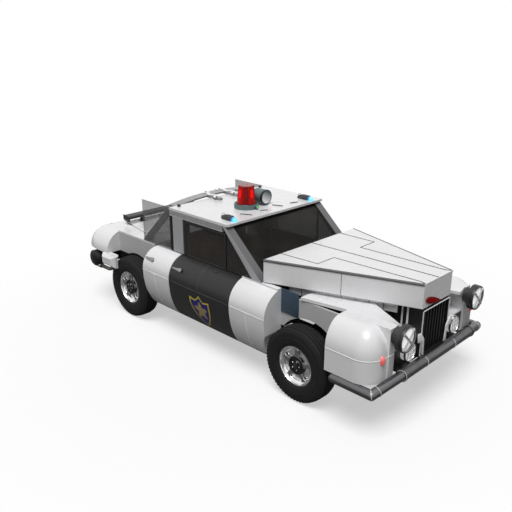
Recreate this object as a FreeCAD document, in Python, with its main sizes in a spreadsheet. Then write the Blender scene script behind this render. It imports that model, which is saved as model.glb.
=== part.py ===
import FreeCAD, Part
import math
import os

import Sketcher

from FreeCAD import Vector

# Patrol car.  Millimetres.  +X is forward, +Y is the car's left, +Z is up.
# The origin lies on the ground, in the middle of the car's length and width.

SIZES = [
    # alias, value, what it is
    ("overall_length", 4680, "front of bumper to end of tail"),
    ("overall_width", 1970, "across the rear bumper caps"),
    ("wheelbase", 2705, "between the axles"),
    ("front_axle", 1330, "front axle ahead of the origin"),
    ("front_overhang", 1010, "front axle to front of bumper"),
    ("track", 1606, "between the middles of two tyres"),
    ("tyre_radius", 375, "tyre and hub height"),
    ("tyre_width", 210, "tyre across"),
    ("rim_radius", 198, "bead seat of the rim"),
    ("rim_wall", 14, "thickness of the rim's barrel"),
    ("hub_radius", 62, "hub of the wheel"),
    ("disc_radius", 136, "brake disc"),
    ("spoke_width", 58, "one spoke across"),
    ("spoke_depth", 34, "one spoke along the axle"),
    ("spindle_radius", 28, "spindle that carries a wheel"),
    ("kingpin_radius", 14, "pin that a knuckle turns on"),
    ("kingpin_offset", 20, "kingpin inboard of the tyre's middle"),
    ("eye_radius", 30, "eye at the end of the front axle"),
    ("hub_start", 30, "hub's inner end outboard of the tyre's middle"),
    ("wheel_face", 26, "spokes' outer face inboard of the tyre's side"),
    ("running_gap", 0.4, "between a pin and its hole"),
    ("seat_gap", 0.3, "between a closed panel and the seal or pin it rests on"),
    ("arch_gap", 30, "round a front tyre"),
    ("rear_arch_gap", 25, "round a rear tyre"),
    ("body_half", 935, "middle of the car to the outside of the doors"),
    ("side_round", 259, "round of the side above and below the waist"),
    ("waist_height", 735, "widest line of the sides"),
    ("sill_height", 232, "bottom of the doors"),
    ("door_inner", 700, "middle of the car to the doors' inner faces"),
    ("cabin_half", 692, "middle of the car to the sills' outer faces"),
    ("seam_gap", 6, "between two panels"),
    ("door_seam", 474, "front edge of the front doors"),
    ("middle_seam", -502, "between front and rear doors"),
    ("rear_seam", -990, "rear edge of the rear doors"),
    ("panel_front", 970, "front edge of the side panels"),
    ("swing_gap", 12, "between a swinging edge and what it passes"),
    ("door_swing", 65, "degrees that a door opens"),
    ("glass_half", 746, "middle of the car to the side glass"),
    ("glass_thickness", 8, "all panes"),
    ("base_height", 1002, "underside of the fixed glass"),
    ("roof_height", 1492, "top of the roof"),
    ("roof_front", 272, "front edge of the roof"),
    ("roof_rear", -681, "rear edge of the roof"),
    ("roof_plate", 25, "roof skin"),
    ("fascia_height", 90, "depth of the roof's side rails"),
    ("rail_width", 96, "roof side rails and screen pillars across"),
    ("pillar_front", -455, "front of the middle pillars"),
    ("pillar_rear", -630, "rear of the middle pillars"),
    ("screen_foot", 748, "foot of the screen pillars, front"),
    ("screen_head", 227, "head of the screen pillars, front"),
    ("pillar_foot", 123, "screen pillar at its foot, along the car"),
    ("pillar_head", 38, "screen pillar at its head, along the car"),
    ("rear_glass_foot", -1196, "foot of the rear glass"),
    ("frame_low", 300, "underside of the frame between the axles"),
    ("frame_room", 85, "underside of the frame above the axles"),
    ("frame_depth", 100, "depth of a frame rail"),
    ("frame_inner", 380, "middle of the car to a rail"),
    ("frame_rail", 60, "rail across"),
    ("frame_step", 960, "where the rails step up ahead of the cabin"),
    ("frame_step_rear", -1060, "where the rails step up behind the cabin"),
    ("frame_front", 2190, "front end of the rails"),
    ("frame_rear", -1945, "rear end of the rails"),
    ("floor_thickness", 20, "floor and walls of the cabin"),
    ("firewall_front", 720, "front of the firewall"),
    ("hood_rear", 757, "rear edge of the hood"),
    ("hood_front", 2223, "front edge of the hood"),
    ("hood_rear_half", 723, "hood's half width at the rear"),
    ("hood_front_half", 240, "hood's half width at the front"),
    ("hood_rear_top", 1244, "height of the hood at the rear"),
    ("hood_front_top", 1271, "height of the hood at the front"),
    ("hood_side", 235, "depth of the hood's sides"),
    ("hood_wall", 22, "hood's plate"),
    ("hood_swing", 50, "degrees that the hood opens"),
    ("grille_half", 234, "grille shell's half width"),
    ("grille_top", 1021, "top of the grille shell"),
    ("grille_front", 2230, "front of the grille shell"),
    ("grille_rear", 1980, "rear of the grille shell"),
    ("grille_wall", 14, "grille shell's plate"),
    ("grille_bar", 14, "grille bar across"),
    ("fender_rear", 1710, "rear edge of the front fenders"),
    ("fender_front", 2193, "front of the round fender nose"),
    ("fender_low", 516, "bottom of the front fenders"),
    ("fender_corner", 190, "round of the fender's nose in plan"),
    ("fender_inner", 606, "middle of the car to the fenders' inner faces"),
    ("fender_ridge", 690, "middle of the car to the fenders' flat top"),
    ("fender_lip", 8, "flat inner nose ahead of the round one"),
    ("wing_top", 990, "top of the inner fenders"),
    ("inner_wall", 20, "inner fender plate"),
    ("catwalk_rear", 1230, "rear end of the fender tops"),
    ("catwalk_plate", 30, "fender top plate"),
    ("lamp_radius", 118, "headlamp lens"),
    ("drum_radius", 122, "headlamp housing"),
    ("lamp_half", 610, "middle of the car to a headlamp"),
    ("lamp_height", 913, "headlamp axis"),
    ("drum_front", 2300, "front of the headlamp housing"),
    ("drum_depth", 34, "headlamp housing along the car"),
    ("drum_stem", 75, "stem behind the headlamp housing"),
    ("lens_depth", 26, "bulge of a headlamp lens"),
    ("fog_radius", 85, "fog lamp"),
    ("fog_half", 390, "middle of the car to a fog lamp"),
    ("fog_height", 675, "fog lamp axis"),
    ("fog_depth", 32, "fog lamp's can along the car"),
    ("apron_front", 2180, "front of the black apron"),
    ("apron_top", 735, "top of the black apron"),
    ("bumper_radius", 52, "middle pipe of the front bumper"),
    ("bumper_half", 600, "half length of the middle pipe"),
    ("bumper_height", 553, "axis of the middle pipe"),
    ("corner_radius", 45, "outer pipes of the front bumper"),
    ("corner_half", 925, "middle of the car to a bumper corner"),
    ("corner_drop", 83, "bumper corner below the middle pipe"),
    ("corner_back", 75, "bumper corner behind the middle pipe"),
    ("side_pipe_rear", 1810, "rear end of the side pipes"),
    ("rear_pipe_radius", 100, "rear bumper pipe"),
    ("rear_pipe_place", -2050, "axis of the rear bumper pipe"),
    ("rear_pipe_height", 600, "axis of the rear bumper pipe"),
    ("rear_pipe_half", 940, "half length of the rear bumper pipe"),
    ("cap_chamfer", 34, "chamfer of the rear bumper caps"),
    ("fender_face", -1740, "front face of the rear fenders"),
    ("tail_start", -1977, "where the tail begins to fall"),
    ("tail_inner", 676, "middle of the car to the rear fenders"),
    ("deck_plate", 20, "deck plate"),
    ("lid_front", -1250, "front edge of the trunk lid"),
    ("lid_front_half", 620, "trunk lid's half width at the front"),
    ("lid_rear_half", 481, "trunk lid's half width at the rear"),
    ("lid_plate", 26, "trunk lid"),
    ("lid_swing", 60, "degrees that the trunk lid opens"),
    ("tub_half", 632, "trunk tub's half width"),
    ("tub_rear", -1930, "rear wall of the trunk tub"),
    ("tub_wall", 15, "trunk tub's plate"),
    ("wing_half", 545, "half span of the deck wing"),
    ("wing_chord", 150, "deck wing fore and aft"),
    ("wing_rise", 50, "deck wing above the lid"),
    ("beacon_place", -80, "beacon along the car"),
    ("beacon_side", -140, "beacon across the car"),
    ("beacon_radius", 135, "beacon base"),
    ("beacon_base", 50, "height of the beacon base"),
    ("dome_radius", 105, "beacon dome at its foot"),
    ("dome_top_radius", 86, "beacon dome at its top"),
    ("dome_height", 205, "beacon dome"),
    ("horn_radius", 80, "siren drum"),
    ("horn_side", 85, "siren across the car"),
    ("horn_length", 150, "siren drum along the car"),
    ("pod_half", 600, "middle of the car to a roof pod"),
    ("pod_place", 140, "roof pod along the car"),
    ("pod_length", 240, "roof pod"),
    ("pod_split", 195, "where a pod's lens begins"),
    ("pod_width", 84, "roof pod across"),
    ("pod_height", 52, "roof pod's height"),
    ("wing_top_rise", 30, "crown of the roof wing above the roof"),
    ("roof_wing_half", 620, "half span of the roof wing"),
    ("roof_wing_chord", 130, "roof wing fore and aft"),
    ("bracket_half", 130, "middle of the car to a roof wing bracket"),
    ("bracket_front", -505, "front of the roof wing brackets"),
    ("bracket_width", 46, "one roof wing bracket across"),
    ("mirror_place", 150, "inside mirror along the car"),
    ("mirror_half", 110, "inside mirror's half width"),
    ("seat_base", 560, "top of the plinths under the seats"),
    ("seat_half", 340, "middle of the car to the middle of a front seat"),
    ("seat_width", 480, "one front seat across"),
    ("seat_front", 150, "front of the front cushions"),
    ("seat_back", -430, "rear of the front backrests"),
    ("seat_depth", 140, "thickness of a cushion"),
    ("backrest", 120, "thickness of a backrest"),
    ("seat_top", 1230, "top of the front backrests"),
    ("bench_half", 600, "rear bench's half width"),
    ("bench_front", -500, "front of the rear bench"),
    ("bench_back", -960, "rear of the rear bench"),
    ("bench_top", 1090, "top of the rear backrest"),
    ("engine_rear", 1060, "rear of the engine block"),
    ("engine_front", 1720, "front of the engine block"),
    ("engine_half", 220, "engine block's half width"),
    ("engine_room", 95, "underside of the engine block above the axles"),
    ("engine_top", 930, "top of the engine block"),
    ("engine_arm", 80, "engine mounting arm along the car"),
    ("dash_depth", 190, "dashboard along the car"),
    ("dash_half", 640, "dashboard's half width"),
    ("dash_low", 740, "underside of the dashboard"),
    ("dash_top", 960, "top of the dashboard"),
    ("steer_place", 330, "steering wheel along the car"),
    ("steer_height", 930, "steering wheel's middle"),
    ("steer_radius", 180, "steering wheel"),
    ("steer_grip", 14, "steering wheel's ring"),
    ("steer_lean", 65, "degrees that the steering column leans"),
    ("exhaust_radius", 24, "exhaust pipe"),
    ("exhaust_half", 560, "middle of the car to the exhaust"),
    ("exhaust_height", 330, "exhaust under the floor"),
    ("exhaust_room", 115, "exhaust above the rear axle"),
    ("silencer_radius", 70, "silencer"),
    ("silencer_length", 500, "silencer along the car"),
    ("tip_half", 800, "middle of the car to the exhaust's end"),
    ("tip_height", 440, "exhaust's end"),
    ("tip_rear", -2190, "exhaust's end along the car"),
    ("tow_eye", 14, "bores of the tow eyes"),
    ("eye_height", 76, "eye at the end of the front axle, tall"),
    ("steer_swing", 30, "degrees that a front wheel steers each way"),
]


class Size:
    """A number together with the sheet expression that gives it."""

    def __init__(self, value, text):
        self.value = float(value)
        self.text = text

    def _joined(self, other, sign, result, turned=False):
        right = other.text if isinstance(other, Size) else repr(float(other))
        pair = (right, self.text) if turned else (self.text, right)
        return Size(result, "(%s %s %s)" % (pair[0], sign, pair[1]))

    def __add__(self, other):
        return self._joined(other, "+", self.value + number(other))

    def __radd__(self, other):
        return self._joined(other, "+", number(other) + self.value, True)

    def __sub__(self, other):
        return self._joined(other, "-", self.value - number(other))

    def __rsub__(self, other):
        return self._joined(other, "-", number(other) - self.value, True)

    def __mul__(self, other):
        return self._joined(other, "*", self.value * number(other))

    def __rmul__(self, other):
        return self._joined(other, "*", number(other) * self.value, True)

    def __truediv__(self, other):
        return self._joined(other, "/", self.value / number(other))

    def __neg__(self):
        return Size(-self.value, "(0 - %s)" % self.text)


def number(size):
    """The plain number of a Size or of a number."""
    return size.value if isinstance(size, Size) else float(size)


class Sizes:
    """The spreadsheet, whose cells are read as attributes."""

    def __init__(self, doc, rows):
        self.sheet = doc.addObject("Spreadsheet::Sheet", "sizes")
        for row, (alias, value, note) in enumerate(rows, start=1):
            self.sheet.set("A%d" % row, alias)
            self.sheet.set("B%d" % row, str(value))
            self.sheet.set("C%d" % row, note)
            self.sheet.setAlias("B%d" % row, alias)
        doc.recompute()

    def __getattr__(self, alias):
        return Size(self.sheet.get(alias), "sizes." + alias)


doc = FreeCAD.newDocument("patrol_car")
S = Sizes(doc, SIZES)
pieces = []
LEFT, RIGHT = 1, -1
SIDES = (("left", LEFT), ("right", RIGHT))


def bind(item, prop, size):
    """Ties one property to the sheet."""
    if isinstance(size, Size):
        item.setExpression(prop, size.text)
    else:
        item.setExpression(prop, repr(float(size)))


def place(item, x, y, z):
    for axis, size in (("x", x), ("y", y), ("z", z)):
        bind(item, "Placement.Base." + axis, size)
    return item


def box(name, x, y, z):
    """A box between the two ends given for each axis."""
    item = doc.addObject("Part::Box", name)
    for prop, (low, high) in (("Length", x), ("Width", y), ("Height", z)):
        bind(item, prop, high - low)
    return place(item, x[0], y[0], z[0])


AIM = {
    "x": FreeCAD.Rotation(Vector(0, 1, 0), 90),
    "y": FreeCAD.Rotation(Vector(1, 0, 0), -90),
    "z": FreeCAD.Rotation(),
}


def rod(name, axis, radius, length, x, y, z):
    """A cylinder from a point, along an axis."""
    item = doc.addObject("Part::Cylinder", name)
    bind(item, "Radius", radius)
    bind(item, "Height", length)
    item.Placement = FreeCAD.Placement(Vector(), AIM[axis])
    return place(item, x, y, z)


def dome(name, aim, radii, origin, turn=360):
    """Half of an ellipsoid, or a sector of that half, that bulges along aim from its flat face."""
    ball = Part.makeSphere(1, Vector(), aim, 0, 90, turn)
    return stretched(name, ball, radii, origin)


def stretched(name, shape, radii, origin):
    scale = FreeCAD.Matrix()
    scale.scale(*[number(size) for size in radii])
    shape = shape.transformGeometry(scale)
    item = shaped(name, shape)
    item.Placement = FreeCAD.Placement(Vector(*[number(size) for size in origin]), FreeCAD.Rotation())
    return item


UP = Vector(0, 0, 1)
AHEAD = Vector(1, 0, 0)
PLANES = {
    # plane: rotation of a sketch whose own x and y are the first and second letters
    "xz": FreeCAD.Rotation(Vector(1, 0, 0), 90),
    "yz": FreeCAD.Rotation(Vector(1, 1, 1), 120),
    "xy": FreeCAD.Rotation(),
}
ACROSS = {"xz": ("y", Vector(0, 1, 0)), "yz": ("x", Vector(1, 0, 0)), "xy": ("z", Vector(0, 0, 1))}


def draw(sketch, points):
    """Closes a sketch's outline through points that are tied to the sheet."""
    corners = [Vector(number(a), number(b), 0) for a, b in points]
    count = len(corners)
    for index, corner in enumerate(corners):
        sketch.addGeometry(Part.LineSegment(corner, corners[(index + 1) % count]), False)
    for index in range(count):
        sketch.addConstraint(Sketcher.Constraint("Coincident", index, 2, (index + 1) % count, 1))
    for index, (across, up) in enumerate(points):
        for kind, size in (("DistanceX", across), ("DistanceY", up)):
            rule = sketch.addConstraint(Sketcher.Constraint(kind, -1, 1, index, 1, number(size)))
            bind(sketch, "Constraints[%d]" % rule, size)
    return sketch


def prism(name, plane, points, start, depth):
    """An outline made solid: from start, by depth, across its plane."""
    sketch = doc.addObject("Sketcher::SketchObject", name + "_outline")
    sketch.Placement = FreeCAD.Placement(Vector(), PLANES[plane])
    axis, way = ACROSS[plane]
    item = doc.addObject("Part::Extrusion", name)
    item.Base = draw(sketch, points)
    item.DirMode = "Custom"
    item.Dir = way
    item.Solid = True
    bind(item, "LengthFwd", depth)
    bind(item, "Placement.Base." + axis, start)
    return item


def joined(name, parts):
    item = doc.addObject("Part::MultiFuse", name)
    item.Shapes = parts
    return item


def less(name, base, tool):
    item = doc.addObject("Part::Cut", name)
    item.Base = base
    item.Tool = tool
    return item


def common(name, first, second):
    item = doc.addObject("Part::MultiCommon", name)
    item.Shapes = [first, second]
    return item


def mirrored(name, source):
    item = doc.addObject("Part::Mirroring", name)
    item.Source = source
    item.Normal = Vector(0, 1, 0)
    return item


def with_mirrors(left_items):
    return left_items + [mirrored(item.Name + "_right", item) for item in left_items]


def pair(name, source):
    """The left piece and its mirror image as one sub-part of two solids."""
    item = doc.addObject("Part::Compound", name)
    item.Links = [source, mirrored(name + "_right", source)]
    return item


def both(name, parts):
    item = doc.addObject("Part::Compound", name)
    item.Links = parts
    return item


def shaped(name, shape):
    """A sub-part whose shape comes from Part's own functions."""
    item = doc.addObject("Part::Feature", name)
    item.Shape = shape
    return item


def keep(item, label):
    """Marks a finished sub-part: its label names its file."""
    item.Label = label
    pieces.append(item)
    return item


# ---- places worked out from the sizes
front_axle_x = S.front_axle
nose = front_axle_x + S.front_overhang
tail = nose - S.overall_length
rear_axle_x = front_axle_x - S.wheelbase
hub_z = S.tyre_radius
wheel_y = S.track / 2
kingpin_y = wheel_y - S.kingpin_offset
belt = S.waist_height + S.side_round
round_middle = S.body_half - S.side_round
arch_radius = S.tyre_radius + S.arch_gap
rear_arch_radius = S.tyre_radius + S.rear_arch_gap
spindle_end = wheel_y + S.tyre_width / 2 - S.wheel_face + 6
floor_z = S.frame_low + S.frame_depth
floor_top = floor_z + S.floor_thickness
cabin_rear = S.rear_seam + 5
frame_outer = S.frame_inner + S.frame_rail
frame_high = hub_z + S.frame_room
frame_top = frame_high + S.frame_depth
engine_low = hub_z + S.engine_room
exhaust_over = hub_z + S.exhaust_room
fascia_low = S.roof_height - S.fascia_height
roof_under = S.roof_height - S.roof_plate
ridge_end = S.fender_front + S.fender_lip
hood_pin_x = S.hood_rear - 7
hood_pin_z = S.hood_rear_top - 8
bumper_x = nose - S.bumper_radius - 5
frame_front = S.roof_front - 30
lid_pin_x = S.lid_front + 1
lid_pin_z = belt + S.lid_plate / 2


def barrel(name, rear, front, inner):
    """A length of the round side, solid from its skin to its inner face."""
    x = number(rear)
    y_in = number(inner)
    middle_y = number(round_middle)
    waist = S.waist_height.value
    radius = S.side_round.value
    drop = waist - S.sill_height.value
    length = number(front) - x
    crown = Part.makeCylinder(radius, length, Vector(x, middle_y, waist), Vector(1, 0, 0))
    squeeze = FreeCAD.Matrix()
    squeeze.scale(1, 1, drop / radius)
    belly = Part.makeCylinder(radius, length, Vector(x, middle_y, 0), Vector(1, 0, 0))
    belly = belly.transformGeometry(squeeze)
    belly.translate(Vector(0, 0, waist))
    above = Part.makeBox(length, radius * 2, radius + 1, Vector(x, y_in, waist))
    below = Part.makeBox(length, radius * 2, drop + 1, Vector(x, y_in, waist - drop - 1))
    shape = crown.common(above).fuse(belly.common(below))
    if y_in < middle_y:
        block = Part.makeBox(length, middle_y - y_in, radius + drop, Vector(x, y_in, waist - drop))
        shape = shape.fuse(block)
    return shaped(name, shape.removeSplitter())


# ---- frame, floor and machinery
def chassis_frame():
    rail = (S.frame_inner, frame_outer)
    parts = [
        box("rail_low", (S.frame_step_rear, S.frame_step), rail, (S.frame_low, floor_z)),
        box("rail_front", (S.frame_step - S.frame_rail, S.frame_front), rail, (frame_high, frame_top)),
        box("rail_rear", (S.frame_rear, S.frame_step_rear + S.frame_rail), rail, (frame_high, frame_top)),
    ]
    for name, x in (("front", S.frame_step - S.frame_rail), ("rear", S.frame_step_rear)):
        parts.append(box("rail_step_" + name, (x, x + S.frame_rail), rail, (S.frame_low, frame_top)))
    left = joined("frame_left", parts)
    front_eye = rod("tow_eye_front", "z", S.tow_eye, S.frame_depth * 2, S.frame_front - 30,
                    S.frame_inner + S.frame_rail / 2, frame_high - 50)
    rear_eye = rod("tow_eye_rear", "y", S.tow_eye, S.frame_rail * 3, S.frame_rear + 100,
                   S.frame_inner - 40, frame_high + S.frame_depth / 2)
    left = less("frame_left_bored", left, joined("tow_eye_cuts", [front_eye, rear_eye]))
    crosses = []
    for name, x, low, high in (
        ("front", S.frame_front - 130, frame_high, frame_top),
        ("middle", S.frame_step - S.frame_rail, S.frame_low, floor_z - 10),
        ("back", S.frame_step_rear, S.frame_low, floor_z - 10),
        ("rear", S.frame_rear, frame_high, frame_top - 10),
    ):
        crosses.append(box("cross_" + name, (x, x + 60), (-S.frame_inner, S.frame_inner), (low, high)))
    keep(joined("frame_all", [left, mirrored("frame_right", left)] + crosses), "chassis_frame")


def floor_pan():
    half = S.cabin_half
    front = S.firewall_front
    parts = [
        box("floor_plate", (cabin_rear, front), (-half, half), (floor_z, floor_top)),
        box("firewall", (front - S.floor_thickness, front), (-half, half), (floor_z, S.base_height - 22)),
        box("bulkhead", (cabin_rear, cabin_rear + 15), (-half, half), (floor_z, belt - S.deck_plate)),
    ]
    sill = box("sill", (rear_axle_x + rear_arch_radius + S.seam_gap, S.panel_front - 60), (half - 50, half),
               (S.frame_low, floor_z + 40))
    parts += [sill, mirrored("sill_right", sill)]
    seal = box("door_seal", (S.middle_seam - 360, S.door_seam - 20), (half, S.door_inner - S.seat_gap),
               (floor_z - 60, floor_z - 35))
    parts += [seal, mirrored("door_seal_right", seal)]
    plinth = box("plinth", (S.seat_back + 130, S.seat_front - 40), (S.seat_half - 180, S.seat_half + 180),
                 (floor_z, S.seat_base))
    parts += [plinth, mirrored("plinth_right", plinth)]
    wide = S.bench_half - 40
    bench = (S.bench_back + 60, S.bench_front - 20)
    parts.append(box("plinth_rear", bench, (-wide, wide), (floor_z, S.seat_base)))
    arch = rod("floor_arch", "y", rear_arch_radius, 300, rear_axle_x, wheel_y - S.tyre_width / 2 - 10, hub_z)
    arches = joined("floor_arches", [arch, mirrored("floor_arch_right", arch)])
    keep(less("floor_cut", joined("floor_all", parts), arches), "floor_pan")


def engine_block():
    block = box("engine", (S.engine_rear, S.engine_front), (-S.engine_half, S.engine_half),
                (engine_low, S.engine_top))
    arm = box("engine_mounting", (S.engine_front - S.engine_arm * 3, S.engine_front - S.engine_arm * 2),
              (-S.frame_inner, S.frame_inner), (engine_low + 10, engine_low + 70))
    keep(joined("engine_all", [block, arm]), "engine_block")


def axle_saddles(name, x, low):
    """Blocks between an axle and the frame rails above it."""
    saddle = box(name, (x - 45, x + 45), (S.frame_inner, frame_outer), (low, frame_high))
    return [saddle, mirrored(name + "_right", saddle)]


def front_axle():
    """Beam with an eye at each end for the kingpins."""
    half = S.eye_radius - 4
    beam = box("beam", (front_axle_x - half, front_axle_x + half), (-kingpin_y, kingpin_y),
               (hub_z - 30, hub_z + 30))
    eye = rod("eye", "z", S.eye_radius, S.eye_height, front_axle_x, kingpin_y, hub_z - S.eye_height / 2)
    saddles = axle_saddles("front_saddle", front_axle_x, hub_z)
    solid = joined("beam_and_eyes", [beam, eye, mirrored("eye_right", eye)] + saddles)
    bore = rod("eye_bore", "z", S.kingpin_radius + S.running_gap, 120, front_axle_x, kingpin_y, hub_z - 60)
    bores = joined("axle_cuts", [bore, mirrored("eye_bore_right", bore)])
    keep(less("front_axle_all", solid, bores), "front_axle")


def rear_axle():
    reach = wheel_y - 10
    tube = rod("axle_tube", "y", 38, reach * 2, rear_axle_x, -reach, hub_z)
    case = stretched("differential", Part.makeSphere(1), (120, 130, 105), (rear_axle_x, 0, hub_z))
    spindle = rod("axle_spindle", "y", S.spindle_radius, spindle_end - reach, rear_axle_x, reach, hub_z)
    parts = [tube, case, spindle, mirrored("axle_spindle_right", spindle)]
    keep(joined("rear_axle_all", parts + axle_saddles("rear_saddle", rear_axle_x, hub_z)), "rear_axle")


def knuckles():
    """Fork over the axle's eye, the kingpin through it, the spindle and a steering arm."""
    half = 24
    web = 12
    fork_out = kingpin_y + S.eye_radius + 6 + web
    near = S.eye_height / 2 + 2
    far = near + 18
    x = (front_axle_x - half, front_axle_x + half)
    parts = [
        box("fork_high", x, (kingpin_y - half, fork_out), (hub_z + near, hub_z + far)),
        box("fork_low", x, (kingpin_y - half, fork_out), (hub_z - far, hub_z - near)),
        box("fork_web", x, (fork_out - web, fork_out), (hub_z - far, hub_z + far)),
        rod("kingpin", "z", S.kingpin_radius, far * 2, front_axle_x, kingpin_y, hub_z - far),
        rod("knuckle_spindle", "y", S.spindle_radius, spindle_end - fork_out, front_axle_x, fork_out, hub_z),
        box("steering_arm", (front_axle_x - 130, front_axle_x), (kingpin_y - half, kingpin_y - 2),
            (hub_z - far, hub_z - near)),
    ]
    left = joined("knuckle_left_all", parts)
    keep(left, "front_left_knuckle")
    keep(mirrored("knuckle_right_all", left), "front_right_knuckle")


# ---- wheels
def origin_part(body, role):
    """A plane or axis of a body's own origin."""
    return [item for item in body.Origin.OriginFeatures if item.Role == role][0]


def revolved(body, name, points):
    """An outline across and up from the axle, turned about the axle."""
    sketch = body.newObject("Sketcher::SketchObject", name + "_section")
    sketch.AttachmentSupport = [(origin_part(body, "YZ_Plane"), "")]
    sketch.MapMode = "FlatFace"
    turn = body.newObject("PartDesign::Revolution", name)
    turn.Profile = draw(sketch, points)
    turn.ReferenceAxis = (sketch, ["H_Axis"])
    turn.Angle = 360
    return turn


def tyre_body(name):
    """The tyre about its own middle: tread, shoulders and bulged side walls."""
    body = doc.addObject("PartDesign::Body", name)
    half = S.tyre_width / 2
    tall = S.tyre_radius - S.rim_radius
    outer = [
        (half - 22, S.rim_radius), (half - 6, S.rim_radius + tall * 0.22), (half, S.rim_radius + tall * 0.5),
        (half - 3, S.tyre_radius - 52), (half - 12, S.tyre_radius - 28), (half - 30, S.tyre_radius - 9),
        (half - 56, S.tyre_radius),
    ]
    revolved(body, name + "_turned", outer + [(-across, up) for across, up in reversed(outer)])
    return body


def rim_body(name):
    """Rim barrel, hub with its bore, brake disc and five spokes, about the wheel's middle."""
    body = doc.addObject("PartDesign::Body", name)
    seat = S.rim_radius - 0.3
    inner = S.rim_radius - S.rim_wall
    half = S.tyre_width / 2
    side = half - 22
    revolved(body, name + "_barrel", [(-side, inner), (side, inner), (side, seat), (-side, seat)])
    bore = S.spindle_radius + S.running_gap
    face = half - S.wheel_face
    revolved(body, name + "_hub", [
        (S.hub_start, bore), (face, bore), (face, S.hub_radius), (face - S.spoke_depth, S.hub_radius + 8),
        (S.hub_start, S.hub_radius + 8),
    ])
    near = S.hub_start + 2
    far = S.hub_start + 12
    revolved(body, name + "_disc", [
        (near, S.hub_radius), (far, S.hub_radius), (far, S.disc_radius), (near, S.disc_radius),
    ])
    drawn = body.newObject("Sketcher::SketchObject", name + "_spoke_outline")
    drawn.AttachmentSupport = [(origin_part(body, "XZ_Plane"), "")]
    drawn.MapMode = "FlatFace"
    bind(drawn, "AttachmentOffset.Base.z", -face)
    wide = S.spoke_width / 2
    foot = S.hub_radius - 12
    draw(drawn, [(-wide, foot), (wide, foot), (wide + 16, inner + 6), (-wide - 16, inner + 6)])
    spoke = body.newObject("PartDesign::Pad", name + "_spoke")
    spoke.Profile = drawn
    bind(spoke, "Length", S.spoke_depth)
    spokes = body.newObject("PartDesign::PolarPattern", name + "_spokes")
    spokes.Originals = [spoke]
    spokes.Axis = (origin_part(body, "Y_Axis"), [""])
    spokes.Angle = 360
    spokes.Occurrences = 5
    body.Tip = spokes
    return body


def wheels():
    for end, x in (("front", front_axle_x), ("rear", rear_axle_x)):
        for side_name, side in SIDES:
            prefix = "%s_%s_" % (end, side_name)
            tyre = place(tyre_body(prefix + "tyre_body"), x, wheel_y, hub_z)
            rim = place(rim_body(prefix + "rim_body"), x, wheel_y, hub_z)
            if side == RIGHT:
                tyre = mirrored(prefix + "tyre_mirror", tyre)
                rim = mirrored(prefix + "rim_mirror", rim)
            keep(tyre, prefix + "tyre")
            keep(rim, prefix + "rim")


# ---- sides, doors and glass
def side_panels():
    skin = barrel("side_panel_skin", S.door_seam + S.seam_gap / 2, S.panel_front, S.cabin_half)
    rail = box("belt_rail", (S.door_seam + S.seam_gap / 2, S.panel_front), (S.cabin_half, S.glass_half),
               (belt - 30, S.base_height))
    arch = rod("side_panel_arch", "y", arch_radius, 400, front_axle_x, S.cabin_half - 20, hub_z)
    keep(pair("side_panels_all", less("side_panel_left", joined("side_panel_solid", [skin, rail]), arch)),
         "front_side_panels")


def doors():
    """Round-sided doors.  Each rear shut face is an arc about the hinge line, at the skin's front edge."""
    for end, rear, front in (
        ("front", S.middle_seam, S.door_seam),
        ("rear", S.rear_seam, S.middle_seam),
    ):
        rear_x = rear + S.seam_gap / 2
        front_x = front - S.seam_gap / 2
        skin = barrel(end + "_door_skin", rear_x, front_x, S.door_inner)
        swing = rod(end + "_door_swing", "z", front_x - rear_x, 2000, front_x, S.body_half, 0)
        door = common(end + "_door_swept", skin, swing)
        if end == "rear":
            door = less("rear_door_arched", door, rear_arch_cut(front_x))
        if end == "front":
            door = joined("front_door_framed", [door] + window_frame())
        keep(door, end + "_left_door")
        keep(mirrored(end + "_right_door_all", door), end + "_right_door")


def rear_arch_cut(hinge_x):
    """What the rear tyre and its clearance sweep in the rear door, from shut to open."""
    outer = number(wheel_y) + S.tyre_width.value / 2 + 10
    radius = number(rear_arch_radius)
    middle = Vector(number(rear_axle_x), 0, number(hub_z))
    full = Part.makeCylinder(radius, 1200, middle, Vector(0, 1, 0))
    disc = Part.Face(Part.Wire(Part.makeCircle(radius - 10, middle + Vector(0, outer, 0), Vector(0, 1, 0))))
    hinge = Vector(number(hinge_x), S.body_half.value, 0)
    swept = disc.revolve(hinge, Vector(0, 0, 1), S.door_swing.value)
    return shaped("rear_door_cut", full.fuse(swept))


def window_frame():
    """Uprights and top rail round the front door's glass."""
    bar = 24
    inner = S.glass_half - 22
    low = belt - 20
    top = fascia_low - S.seam_gap
    front = frame_front
    rear = S.pillar_front + S.swing_gap
    return [
        box("frame_rear", (rear, rear + bar), (inner, S.glass_half), (low, top)),
        box("frame_front", (front - bar, front), (inner, S.glass_half), (low, top)),
        box("frame_top", (rear, front), (inner, S.glass_half), (top - bar, top)),
    ]


def door_windows():
    rear = S.pillar_front + S.swing_gap + 24
    inner = S.glass_half - 15
    pane = box("door_pane", (rear, frame_front - 24), (inner, inner + S.glass_thickness),
               (belt - 8, fascia_low - S.seam_gap - 24))
    skin = barrel("pane_bed", S.middle_seam, S.door_seam, S.door_inner)
    pane = less("door_pane_left", pane, skin)
    keep(pane, "front_left_window")
    keep(mirrored("door_pane_right", pane), "front_right_window")


def roof_panel():
    half = S.glass_half
    plate = box("roof_skin", (S.roof_rear, S.roof_front), (-half, half), (roof_under, S.roof_height))
    rail = box("roof_rail", (S.roof_rear, S.screen_head - S.pillar_head), (half - S.rail_width, half),
               (fascia_low, roof_under))
    header = box("roof_header", (S.screen_head - S.pillar_head - 60, S.screen_head - S.pillar_head),
                 (S.rail_width - half, half - S.rail_width), (roof_under - 45, roof_under))
    keep(joined("roof_all", [plate, rail, mirrored("roof_rail_right", rail), header]), "roof_panel")


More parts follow.
